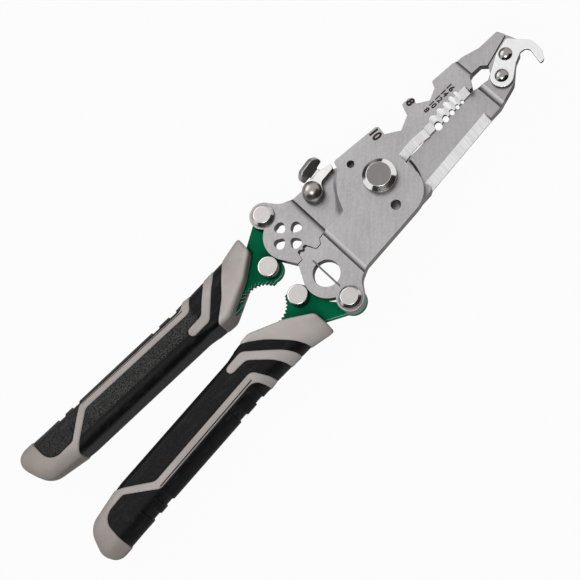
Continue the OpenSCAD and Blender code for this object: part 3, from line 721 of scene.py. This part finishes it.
turned("pivot_bolt", [
    (0, 13.35, 0), (4.25, 13.35, 0.2), (5.88, 12.2, 0.2), (5.95, 11.4, 0.2), (5.95, 10.15, 0),
    (4, 10.15, 0), (4, 0.4, 0.2), (0, 0.4, 0),
], (0, 0), pivot_rim, pivot_face)
turned("pivot_nut", [
    (4, 2.5, 0), (5.9, 2.5, 0.1), (5.9, 0.88, 0.15), (5.1, 0, 0.15), (4, 0, 0.1),
], (0, 0), pivot_rim, pivot_face, ring=True)
turned("pivot_washer", [(4, 3, 0), (6.5, 3, 0.08), (6.5, 2.5, 0.08), (4, 2.5, 0)],
       (0, 0), satin_rim, satin, ring=True)

# Opening spring
# A bent wire that lies in a ring pocket between the plates and pushes the jaws apart. Its
# turned-out ends sit in the plates, so none of it shows.
dressed("jaw_spring", [bright], bevel=0)

# Splitter blade
# A thin blade of hardened steel, pressed across the round hole in the right tail. A flat cable is
# pulled over it to part its strands.
blade_steel = brushed("blade_steel", rgb(112, 110, 108), grain=(0.4, 3, 3), rough=0.3)
dressed("splitter_blade", [blade_steel], bevel=0.05, segments=1)

# Hook blade
# A thin polished steel blade with a hooked beak that slits the sheath of a cable. Two domed rivets
# hold it on the tip of the rear jaw.
hook_steel = brushed("hook_steel", rgb(227, 227, 227), turn=GRAIN_TURN, rough=0.3, shade=0.03)
dark_dome = lathe_finish("dark_dome", rgb(150, 146, 143), 0.15, depth=0.0)
# The blade's walls take the painted shade of the sawn walls
dressed("hook_blade", [hook_steel, cut_steel], bevel=0.22, segments=3,
        paint=lambda face: 0 if abs(face.normal.z) > 0.9 else 1)
DOME_RADIUS, DOME_Z, DOME_SWEEP = 2.865, 7.985, math.radians(56.9)
FIRST_HOOK_RIVET, HOOK_RIVET_STEP = (52.5, -5.6), (6.4, 4.4)


def ball_top(radius, middle_z, sweep, count):
    """The profile of a ball from its top down to an angle from its axis."""
    return [
        (radius * math.sin(a), middle_z + radius * math.cos(a), 0)
        for a in np.linspace(0, sweep, count)
    ]


turned("hook_rivets", ball_top(DOME_RADIUS, DOME_Z, DOME_SWEEP, 12) + [
    (1.5, 9.55, 0), (1.5, 4.85, 0), (2.1, 4.85, 0), (2.1, 4.05, 0.2), (0, 4.05, 0),
], FIRST_HOOK_RIVET, dark_dome, dark_dome, count=2, step=HOOK_RIVET_STEP)

# Lock
# A polished steel lever with a bent thumb tab, which holds the jaws shut. It turns on a rivet with
# a ball head, over a thin washer.
LOCK_AT = (-18.8, 14.1)
BALL_RADIUS, BALL_Z, BALL_CUT = 3.5, 9.7, 8.95
BALL_SWEEP = math.acos((BALL_CUT - BALL_Z) / BALL_RADIUS)
# Where the thumb tab begins, above the strut and beyond its end, and the way to it from the rivet
TAB_Z, TAB_Y = 9.3, 18.6
TAB_WAY = (0.74, 0.67)


def ball_shadow(finish):
    """Painted shadow of the ball: 1 on the strut's rim round the ball, on the side away from the
    tab.
    """
    x, y = along_axis(finish, "X") - LOCK_AT[0], along_axis(finish, "Y") - LOCK_AT[1]
    to_tab = (x * TAB_WAY[0] + y * TAB_WAY[1]).step(0.3, 2.2)
    return plan_reach(finish, LOCK_AT).step(3.2, 3.5) * (1 - to_tab) * 0.9


dome_rim = lathe_finish("dome_rim", rgb(156, 151, 148), 0.3, depth=0.0)
mirror = brushed("mirror_steel", rgb(234, 232, 229), grain=(3, 3, 3), rough=0.18, depth=0.0,
                 shadow=ball_shadow)
tab_steel = brushed("tab_steel", rgb(172, 171, 170), grain=(3, 3, 3), rough=0.3, shade=0.08,
                    depth=0.0)


def lock_paint(face):
    """The thumb tab is painted darker than the strut as shade, and the strut's walls take the
    painted shade of the sawn walls.
    """
    middle = face.calc_center_median() / MM
    if middle.z > TAB_Z or middle.y > TAB_Y:
        return 1
    return 2 if abs(face.normal.z) < 0.3 else 0


dressed("lock_lever", [mirror, tab_steel, cut_steel], bevel=0.25, segments=3,
        paint=lock_paint)
turned("lock_rivet", ball_top(BALL_RADIUS, BALL_Z, BALL_SWEEP, 26) + [
    (1.7, 8.95, 0), (1.7, 3.05, 0), (3, 3.05, 0.1), (3, 2.05, 0.25), (0, 2.05, 0),
], LOCK_AT, dome_rim, dome_rim)
turned("lock_washer", [(1.7, 6.85, 0), (3.3, 6.85, 0.05), (3.3, 6.55, 0.05), (1.7, 6.55, 0)],
       LOCK_AT, satin_rim, satin, ring=True)

# Handle rivets and stops
# Each handle folds on a large chamfered steel rivet over a washer, and a plain pin, riveted into
# its lever, stops it where it is straight.
FOLD_AT = (-36.1, 21.2)
STOP_AT = (-47.391, 7.275)
# The rivet and pin rims are painted dark as shade on their outer walls
rivet_rim = lathe_finish("rivet_rim", rgb(200, 196, 194), 0.2, depth=0.002, wall=4.02)
pin_rim = lathe_finish("pin_rim", rgb(200, 196, 194), 0.2, depth=0.002, wall=3.56)
for hand, side in (("left", 1), ("right", -1)):
    turned(hand + "_fold_rivet", [
        (0, 10.15, 0), (2.95, 10.15, 0.4), (4.05, 9.1, 0.5), (4.05, 8.35, 0), (2.5, 8.35, 0),
        (2.5, 1.8, 0), (4.05, 1.8, 0.1), (4.05, 1.28, 0.3), (2.9, 0.3, 0.3), (0, 0.3, 0),
    ], (FOLD_AT[0], FOLD_AT[1] * side), rivet_rim, satin)
    turned(hand + "_fold_washer", [
        (2.5, 4.85, 0), (4.05, 4.85, 0.1), (4.05, 4.45, 0.1), (2.5, 4.45, 0),
    ], (FOLD_AT[0], FOLD_AT[1] * side), satin_rim, satin, ring=True)
    turned(hand + "_stop_pin", [
        (0, 8.75, 0), (3.6, 8.75, 0.55), (3.6, 4.35, 0.1), (1.98, 4.35, 0), (1.98, 1.85, 0),
        (2.88, 1.85, 0.05), (2.88, 1.05, 0.2), (0, 1.05, 0),
    ], (STOP_AT[0], STOP_AT[1] * side), pin_rim, satin)

# Levers
# Green painted steel levers with a toothed gripping gap. The paint is thin and glossy, and a
# painted highlight makes it a little lighter along the edges that face the light.
green = Finish("green_paint")
orange_peel = green.noise(1.1, 2.0)
patches = green.noise(11)
# A painted highlight lies on the broken edges of the right lever, which face the light
facing = green.node("ShaderNodeNewGeometry", output="True Normal")
lean = abs(green.part(facing, "Z"))
outwards = green.part(facing, "Y") * -1.0
edge_highlight = lean.step(0.2, 0.4) * (1 - lean.step(0.94, 0.97)) * outwards.step(0.1, 0.4)
# Painted shade lies where the lever comes out of its grip, within a mm of the three edges of its
# mouth
MOUTH_X, MOUTH_CORNER = -47.8, (-56.3, 10.4)
MOUTH_EDGES = ((0.579, -0.815), (0.435, -0.9))
lever_x, lever_y = along_axis(green, "X"), abs(along_axis(green, "Y"))
clear = lever_x - MOUTH_X
for away_x, away_y in MOUTH_EDGES:
    off = (lever_x - MOUTH_CORNER[0]) * away_x + (lever_y - MOUTH_CORNER[1]) * away_y
    clear = clear.most(off)
green_tone = green.mix(patches.step(0.3, 0.7), rgb(0, 84, 55), rgb(0, 97, 64))
green_tone = green.mix((1 - clear.step(0.2, 1.3)) * 0.8, green_tone, rgb(0, 24, 16))
green_paint = green.surface(
    base_color=green.mix(edge_highlight * 0.7, green_tone, rgb(120, 196, 168)),
    roughness=0.3 + orange_peel * 0.12,
    specular_ior_level=0.02,
    coat_weight=0.02,
    coat_roughness=0.1,
    normal=green.bump(orange_peel, 0.02),
)


# The corner beside the last tooth, and the line that it is drawn back to
CORNER_X, CORNER_Y, CORNER_TIP_Y = (-67.8, -62), 5.3, 3.8
TRIMMED_Y, TRIMMED_SHARE = 5.1, 0.15
TEETH_X, TEETH_Y = (-68, -50), 9


def lever_trim(vertex):
    """The corner beside the last tooth ends just outside the grip."""
    x, y = vertex.co.x / MM, abs(vertex.co.y) / MM
    if CORNER_X[0] < x < CORNER_X[1] and y < CORNER_Y:
        y = TRIMMED_Y + (y - CORNER_TIP_Y) * TRIMMED_SHARE
        vertex.co.y = math.copysign(y, vertex.co.y) * MM


def lever_paint(face):
    """Every other tooth flank is painted dark as shade, and the rest take a rougher green."""
    middle = face.calc_center_median() / MM
    toothed = (TEETH_X[0] < middle.x < TEETH_X[1] and abs(middle.y) < TEETH_Y
               and abs(face.normal.z) < 0.2)
    return 1 if toothed and face.normal.x < 0 else 2 if toothed else 0


TOOTH_GRAIN = (0.6, 0.6, 2)
tooth_dark = brushed("tooth_dark", rgb(8, 34, 25), grain=TOOTH_GRAIN, rough=0.5, shade=0.2)
tooth_green = brushed("tooth_green", rgb(6, 84, 58), grain=TOOTH_GRAIN, rough=0.5, shade=0.2)
for hand in ("left", "right"):
    dressed(hand + "_lever", [green_paint, tooth_dark, tooth_green], bevel=0.2,
            paint=lever_paint, trim=lever_trim)

# Grips
# Two-colour grips moulded round the levers. The grey frame stands a little proud of the black
# rubber, and a shallow seam parts them. The black front field is pebbled inside a crease.
GRIP_MID_Z = 3.1
SPLAY = math.tan(math.radians(3))
GRIP_WIDTH = 16.2
GRIP_END = -153.5
GRIP_SHARP = math.radians(50)


def outer_edge(x):
    """Where the grip's outer side lies, which splays backwards."""
    return 21 - (x + 64) * SPLAY


def inner_edge(x):
    return outer_edge(x) - GRIP_WIDTH


# Circles that the grip's outline runs round, as x, y and radius
OUTLINE_CIRCLES = [
    (-48.9, 22.2, 1.3),
    (-57.0, 21.6, 0.0),
    (-74.0, 21.3, 0.0),
    (-76.5, outer_edge(-76.5) - 4, 4.0),
    (GRIP_END + 4.9, outer_edge(GRIP_END + 4.9) - 4.9, 4.8),
    (GRIP_END + 8.2, outer_edge(GRIP_END + 8.2) - 7.8, 7.0),
    (GRIP_END + 22, inner_edge(GRIP_END + 22) + 13, 13.0),
    (-78.0, inner_edge(-78) + 6, 6.0),
    (-69.0, 7.6, 3.0),
    (-57.4, 12.5, 2.4),
    (-49.2, 16.9, 1.2),
]
# The grey frame seen from the front, as corners with x, y and radius
LINE_WIDTH = 2.9
GREY_SHAPES = [
    [(-40, 30, 0), (-54, 26, 0), (-58.7, 18.4, 20), (-65.7, 10.5, 20), (-73, 4.8, 2),
     (-73.4, -5, 0), (-40, -5, 0)],
    [(-58.6, 26, 0), (-62.5, 18.8, 20), (-74, 7.7, 3), (-82, 7.9, 1.5), (-82, 11, 1.5),
     (-74.8, 11.1, 3), (-67.4, 18.6, 20), (-63.4, 26, 0)],
    [(-69.6, 26, 0), (-76.4, 15, 3), (-123.8, 17.8, 3), (-136, 9, 0.5), (-136, -5, 0),
     (-160, -5, 0), (-160, 36, 0), (-145.6, 36, 0), (-144.8, 13.4, 5), (-134.6, 12.9, 2),
     (-124.4, 17.8 + LINE_WIDTH, 3), (-78, 15 + LINE_WIDTH, 4), (-73, 26, 0)],
]
# The fine groove along the long grey line
GROOVE = [(-78.5, 15 + LINE_WIDTH - 0.62), (-123.6, 17.8 + LINE_WIDTH - 0.62)]
GROOVE_HALF, GROOVE_OUT, GROOVE_DEPTH = 0.1, 0.24, 0.25
# The outer side falls away in a long curve, as x against its edge, its width and its end height
OUTER_EDGE = ([-160, -76, -74, -57, -48], [outer_edge(-160), outer_edge(-76), 21.3, 21.6, 23.5])
OUTER_FALL = ([-150, -140, -76, -58, -48], [4.0, 6.6, 6.6, 8.0, 8.0])
OUTER_END = ([-150, -140, -76, -58, -48], [3.5, 1.6, 1.6, 0.9, 0.6])
# Depth and edge radius along the grip, as x against size
HALF_DEPTH = ([-153.5, -146, -136, -77, -70, -58, -48], [6.6, 6.9, 7.7, 7.7, 7.5, 7.05, 6.4])
EDGE_RADIUS = ([-150, -136, -80, -76, -70, -58, -49], [4.5, 4.0, 4.0, 2.6, 2.0, 1.2, 0.9])
# Four notches in the outer side, with the places of the cuts across and along each
RECESS_X = (-81.3, -89.1, -126.0, -132.3)
RECESS_HALF, RECESS_DEPTH, RECESS_REACH, RECESS_WALL = 1.55, 0.6, 3.4, 0.1
RECESS_SHIFTS = (-1.9, -1.65, -1.45, -1.2, 0, 1.2, 1.5, 1.9)
RECESS_RISES = (1, -1.2, -2.4, -3.6)
OUTER_SIDE, INNER_SIDE = 5, 7.5
# The faces swell towards their middle, as height, how far in, and how much lower the rim is
CROWN, CROWN_REACH, CROWN_DROP = 0.35, 8.1, 0.3
OUTER_LEAN = 0.9
# The grey frame rises from the seam within a short way, and the black rubber falls to it
SEAM_DEPTH, GREY_RISE, GREY_WAY, BLACK_WAY = 0.14, 0.36, 0.5, 0.45
SEAM_BANDS = (-0.55, -0.3, -0.12, 0.0, 0.12, 0.3, 0.55)
# The black field lies behind a crease, which is nearer to the edge on the outer side
CREASE, CREASE_WALL, CREASE_FOOT, OUTER_CREASE = 3.7, 0.25, 0.7, 2.4
CREASE_FROM_X, CREASE_SIDE = -76, 8
FIELD_RISE, FIELD_DROP, FIELD_WAY = 0.16, 0.1, 0.6
# The line beyond which the field is smooth, and how rough the field's end and the grey line are
PEBBLE_LINE_Y, PEBBLE_LINE_SLOPE = 17.3, -0.062
END_FIELD_X, END_PEBBLE = -124.5, 0.55
GREY_PEBBLE, GREY_PEBBLE_REACH, GREY_PEBBLE_Y = 0.5, 3.2, 21
COLLAR_X = -75
# How finely the grip is cut up
RIM_ANGLES = (14, 28, 42, 56, 70, 84)
FALL_ANGLES = (14, 28, 40, 52, 64, 76, 86)
FALL_X = np.arange(-150, -48.5, 1.2)
GRID_X, GRID_Y, GRID_SHIFT = np.arange(-153, -46, 1.4), np.arange(4, 28, 1.2), 0.7
CLEAR_OF_RIM, CLEAR_OF_SEAM = 4.7, 0.8
SIDE_ROWS, ON_OUTLINE = 8, 0.02


def outer_fall(spots):
    """How far a point lies down the outer side's curve, from 0 at its top to 1 at the edge, with
    the height that is left there and the radius of the edge."""
    x, y = spots.T
    share = np.clip(1 - (np.interp(x, *OUTER_EDGE) - y) / np.interp(x, *OUTER_FALL), 0, 1)
    half, end = np.interp(x, *HALF_DEPTH), np.interp(x, *OUTER_END)
    left = end + (half - end) * np.sqrt(1 - share ** 2)
    return share, left, np.minimum(np.interp(x, *EDGE_RADIUS), left * 0.8)


def string_round(circles, spacing):
    """The line of a string drawn counter-clockwise round a row of circles."""
    count = len(circles)
    centres = [np.array(c[:2]) for c in circles]
    normals = []
    for i in range(count):
        j = (i + 1) % count
        along = centres[j] - centres[i]
        reach = np.hypot(*along)
        along /= reach
        lean = (circles[i][2] - circles[j][2]) / reach
        normals.append(along * lean + np.array((along[1], -along[0])) * math.sqrt(1 - lean * lean))
    points = []
    for i in range(count):
        radius = circles[i][2]
        start, stop = normals[i - 1], normals[i]
        turn = math.atan2(start[0] * stop[1] - start[1] * stop[0], float(start @ stop))
        steps = max(1, int(radius * abs(turn) / (spacing * 0.7)))
        points += arc(centres[i], radius, start, turn, steps)
        j = (i + 1) % count
        a, b = centres[i] + radius * stop, centres[j] + circles[j][2] * stop
        steps = max(1, int(np.hypot(*(b - a)) / spacing))
        points += [a + (b - a) * k / steps for k in range(1, steps)]
    return np.array(points)


def spaced(points, spacing, closed=True):
    """A line's points again, at an even spacing."""
    line = np.vstack([points, points[:1]]) if closed else np.asarray(points)
    lengths = np.r_[0, np.cumsum(np.hypot(*np.diff(line, axis=0).T))]
    steps = max(3, int(lengths[-1] / spacing))
    at = np.linspace(0, lengths[-1], steps + 1)[: steps if closed else steps + 1]
    return np.c_[np.interp(at, lengths, line[:, 0]), np.interp(at, lengths, line[:, 1])]


def eased(points, times):
    """A closed line with its kinks softened."""
    for _ in range(times):
        points = (np.roll(points, 1, 0) + 2 * points + np.roll(points, -1, 0)) / 4
    return points


def measure(points, line, closed=True):
    """Distance of points to a line, with the direction away from it. For a closed
    counter-clockwise line it is positive inside."""
    along = np.roll(line, -1, 0) - line
    length2 = (along ** 2).sum(1)
    near = np.full(len(points), 1e9)
    offset = np.zeros((len(points), 2))
    inside = np.zeros(len(points), bool)
    for i in range(len(line) if closed else len(line) - 1):
        rel = points - line[i]
        t = np.clip(rel @ along[i] / max(length2[i], 1e-12), 0, 1)
        gap = rel - t[:, None] * along[i]
        far = np.hypot(*gap.T)
        better = far < near
        near[better], offset[better] = far[better], gap[better]
        y0, y1 = line[i][1], line[i][1] + along[i][1]
        crosses = (y0 > points[:, 1]) != (y1 > points[:, 1])
        if y1 != y0:
            inside ^= crosses & (
                points[:, 0] < line[i][0] + (points[:, 1] - y0) / (y1 - y0) * along[i][0]
            )
    sign = np.where(inside | (not closed), 1.0, -1.0)
    direction = offset * sign[:, None] / np.maximum(near, 1e-9)[:, None]
    return near * sign, direction


def offset_line(line, amount):
    """A closed counter-clockwise line moved inwards by amount, one for each point."""
    before, after = np.roll(line, 1, 0), np.roll(line, -1, 0)
    along = after - before
    along /= np.hypot(*along.T)[:, None]
    inward = np.c_[-along[:, 1], along[:, 0]]
    return line + inward * np.reshape(amount, (-1, 1))


def turned_left(line):
    """The line, in counter-clockwise order."""
    x, y = line.T
    area = (x * np.roll(y, -1) - y * np.roll(x, -1)).sum()
    return line if area > 0 else line[::-1]


OUTLINE = eased(spaced(string_round(OUTLINE_CIRCLES, 0.3), 0.6), 2)
GREY_LINES = [turned_left(spaced(rounded(shape), 0.7)) for shape in GREY_SHAPES]
GROOVE_LINE = spaced(np.array(GROOVE), 1.2, closed=False)


def grip_plan():
    """The grip from the front, cut into triangles along every line that its relief follows."""
    points, edges = [], []

    def add(line, closed=True):
        base = len(points)
        points.extend(line)
        last = len(line) if closed else len(line) - 1
        edges.extend((base + k, base + (k + 1) % len(line)) for k in range(last))

    edge = outer_fall(OUTLINE)[2]
    add(OUTLINE)
    for angle in RIM_ANGLES:
        add(offset_line(OUTLINE, edge * (1 - math.cos(math.radians(angle)))))
    for inset in (CREASE, CREASE + CREASE_WALL, CREASE + CREASE_FOOT):
        x, y = offset_line(OUTLINE, inset).T
        kept = np.c_[x, y][(x < CREASE_FROM_X) & (y < outer_edge(x) - CREASE_SIDE)]
        add(kept[np.argsort(kept[:, 0])], closed=False)
    for angle in FALL_ANGLES:
        fall = np.interp(FALL_X, *OUTER_FALL) * (1 - math.cos(math.radians(angle)))
        add(np.c_[FALL_X, np.interp(FALL_X, *OUTER_EDGE) - fall], closed=False)
    for line in GREY_LINES:
        for band in SEAM_BANDS:
            add(offset_line(line, band))
    for shift in (-GROOVE_OUT, -GROOVE_HALF, GROOVE_HALF, GROOVE_OUT):
        add(GROOVE_LINE + np.array((0, shift)), closed=False)
    for x in RECESS_X:
        for shift in RECESS_SHIFTS:
            top = outer_edge(x + shift)
            add([(x + shift, top + rise) for rise in RECESS_RISES], closed=False)
    grid = np.array([
        (x + row % 2 * GRID_SHIFT, y) for row, y in enumerate(GRID_Y) for x in GRID_X
    ])
    depth, _ = measure(grid, OUTLINE)
    seam = np.min([np.abs(measure(grid, line)[0]) for line in GREY_LINES], axis=0)
    points.extend(grid[(depth > CLEAR_OF_RIM) & (seam > CLEAR_OF_SEAM)])
    made = geometry.delaunay_2d_cdt([Vector(p) for p in points], edges, [], 0, 1e-4)
    spots, faces = np.array(made[0]), np.array(made[2])
    middle = spots[faces].mean(1)
    inside = measure(middle, OUTLINE)[0] > 0
    grey = np.max([measure(middle[inside], line)[0] for line in GREY_LINES], axis=0) > 0
    return spots, faces[inside], grey


def swell(t):
    """A rise from 0 to 1 that is steep first and flat last."""
    t = np.clip(t, 0, 1)
    return 1 - (1 - t) ** 2


def grip_relief(spots):
    """What each point of the plan has: its height, outward direction and relief, its share of
    pebbles, groove and painted ridge highlight, and its depth inside the outline."""
    x, y = spots.T
    depth, inward = measure(spots, OUTLINE)
    depth = np.maximum(depth, 0)
    down, height, edge = outer_fall(spots)
    share = np.clip(1 - depth / edge, 0, 1)
    height = height - edge + edge * np.sqrt(1 - share ** 2)
    height += CROWN * swell(depth / CROWN_REACH) - CROWN_DROP
    lean = -inward * share[:, None] + np.c_[0 * down, down * OUTER_LEAN]
    lean /= np.maximum(1, np.hypot(*lean.T))[:, None]
    normal = np.c_[lean, np.sqrt(np.maximum(0, 1 - (lean ** 2).sum(1)))]
    seam = np.max([measure(spots, line)[0] for line in GREY_LINES], axis=0)
    relief = np.where(
        seam > 0, GREY_RISE * swell(seam / GREY_WAY) - SEAM_DEPTH,
        -SEAM_DEPTH * (1 - swell(-seam / BLACK_WAY)),
    )
    field = (seam < 0) & (x < CREASE_FROM_X)
    plateau = np.where(
        y < outer_edge(x) - INNER_SIDE,
        np.clip((depth - CREASE) / CREASE_WALL, 0, 1), np.clip(depth - OUTER_CREASE, 0, 1),
    )
    relief += np.where(field, FIELD_RISE * plateau - FIELD_DROP, 0) * swell(-seam / FIELD_WAY)
    groove_far, _ = measure(spots, GROOVE_LINE, closed=False)
    groove = np.clip((GROOVE_OUT - groove_far) / (GROOVE_OUT - GROOVE_HALF), 0, 1)
    relief -= GROOVE_DEPTH * groove
    side = np.clip(RECESS_REACH - depth, 0, 1) * (y > outer_edge(x) - OUTER_SIDE)
    for recess_x in RECESS_X:
        far = np.abs(x - recess_x) - RECESS_HALF
        near = np.clip((RECESS_WALL - far) / (2 * RECESS_WALL), 0, 1)
        relief -= RECESS_DEPTH * near * side * (seam < 0)
    line_y = PEBBLE_LINE_Y + (x - GROOVE[0][0]) * PEBBLE_LINE_SLOPE
    pebble = np.where(field, plateau * swell(-seam / GREY_WAY), 0.0)
    pebble *= np.where(x < END_FIELD_X, END_PEBBLE, y < line_y)
    on_line = (seam > 0) & (groove_far < GREY_PEBBLE_REACH) & (y < GREY_PEBBLE_Y)
    pebble = np.maximum(pebble, GREY_PEBBLE * on_line)
    # A painted highlight lies along the collar's rim on the side that its lever comes out of
    collar = np.clip((x - COLLAR_X) / 2, 0, 1)
    ridge_highlight = 4 * share * (1 - share) * np.clip(inward[:, 1] * 2, 0, 1) * collar
    return height, normal, relief, pebble, groove, ridge_highlight, depth


PLAN, PLAN_FACES, PLAN_GREY = grip_plan()
HEIGHT, NORMAL, RELIEF, PEBBLE, IN_GROOVE, RIDGE_HIGHLIGHT, DEPTH = grip_relief(PLAN)


def grip_piece(name, hand, grey, finish, node):
    """One colour of one grip as a closed form, with walls along its seams."""
    chosen = PLAN_FACES[PLAN_GREY == grey]
    edges = dict.fromkeys(edge for a, b, c in chosen for edge in ((a, b), (b, c), (c, a)))
    border = [(a, b) for a, b in edges if (b, a) not in edges]
    verts = []
    marks = {"pebble": [], "groove": [], "ridge_highlight": [], "flank": []}
    front, back, column = {}, {}, {}
    way = 1 if hand == "left" else -1

    def corner(i, level):
        """A point at level 1 for the front, -1 for the back, or between them on a side."""
        face = abs(level) == 1
        flank = not face and DEPTH[i] <= ON_OUTLINE
        out = NORMAL[i] * ((1, 1, level) if face else (flank, flank, 0))
        spot = np.array((*PLAN[i], HEIGHT[i] * level + GRIP_MID_Z)) + out * RELIEF[i]
        verts.append(spot * (MM, MM * way, MM))
        shares = (PEBBLE[i] * face, IN_GROOVE[i] * face, RIDGE_HIGHLIGHT[i] * face, flank)
        for values, share in zip(marks.values(), shares):
            values.append(share)
        return len(verts) - 1

    for i in np.unique(chosen):
        front[i], back[i] = corner(i, 1), corner(i, -1)
    for i in np.unique(border):
        sides = [corner(i, 1 - 2 * k / SIDE_ROWS) for k in range(1, SIDE_ROWS)]
        column[i] = [front[i]] + sides + [back[i]]
    faces = [(front[a], front[b], front[c]) for a, b, c in chosen]
    faces += [(back[c], back[b], back[a]) for a, b, c in chosen]
    for a, b in border:
        faces += [
            (column[a][k], column[a][k + 1], column[b][k + 1], column[b][k])
            for k in range(SIDE_ROWS)
        ]
    if way < 0:
        faces = [face[::-1] for face in faces]
    mesh = bpy.data.meshes.new(name)
    mesh.from_pydata(verts, [], faces)
    for key, values in marks.items():
        mark = mesh.attributes.new(key, "FLOAT", "POINT")
        mark.data.foreach_set("value", np.array(values, np.float32))
    mesh.materials.append(finish)
    smoothed(mesh, GRIP_SHARP)
    stand_for(put(mesh, name), node)


def pebbles_of(finish, cell):
    """Small round grains, 1 at their tops."""
    far = finish.node(
        "ShaderNodeTexVoronoi", {"Vector": finish.place(cell), "Scale": 1.0}, "Distance"
    )
    return (1 - far.step(0.0, 0.8)) * marked(finish, "pebble")


grey = Finish("grey_grip")
grey_cloud = grey.noise(14)
grey_grain = grey.noise(0.4, 2.0)
grey_speck = pebbles_of(grey, 0.45)
grey_tone = grey.mix(grey_cloud.step(0.3, 0.7), rgb(157, 150, 146), rgb(171, 164, 160))
# Over the grey go a darker tone towards the end, darker specks, a painted highlight on the
# collar's rim, painted shade on the sides and painted shade in the groove
for share, colour in (
    (0.5 * (1 - along_axis(grey, "X").step(-152, -132)), rgb(118, 108, 102)),
    (grey_speck * 0.25, rgb(110, 104, 100)),
    (marked(grey, "ridge_highlight") * 0.7, rgb(196, 190, 186)),
    (marked(grey, "flank") * 0.75, rgb(112, 106, 102)),
    (marked(grey, "groove"), rgb(28, 26, 25)),
):
    grey_tone = grey.mix(share, grey_tone, colour)
grey_plastic = grey.surface(
    base_color=grey_tone,
    roughness=0.48 + grey_grain * 0.14,
    specular_ior_level=0.16,
    normal=grey.bump(grey_grain * 0.3 + grey_speck, 0.05),
)
black = Finish("black_grip")
skin = black.noise(0.6, 2.0)
speck = pebbles_of(black, 0.36)
patchy = black.noise(3, 2.0)
# Broad streaks of painted sheen on the black
streaks = black.noise((5, 1.2, 5)).step(0.5, 0.75)
black_tone = black.mix(streaks, rgb(12, 12, 12), rgb(30, 30, 30))
# The left grip's grains are painted paler than the right one's, where the light falls on them more
grain_tone = black.mix(along_axis(black, "Y") > 0.0, rgb(44, 44, 44), rgb(104, 103, 102))
black_rubber = black.surface(
    base_color=black.mix(speck * (0.3 + patchy * 0.65), black_tone, grain_tone),
    roughness=0.40 + skin * 0.12,
    specular_ior_level=0.1,
    normal=black.bump(speck + skin * 0.1, 0.14),
)
for hand in ("left", "right"):
    grip_piece(hand + "_grip_frame", hand, True, grey_plastic, hand + "_grip_body")
    grip_piece(hand + "_grip_rubber", hand, False, black_rubber, hand + "_grip_pad")
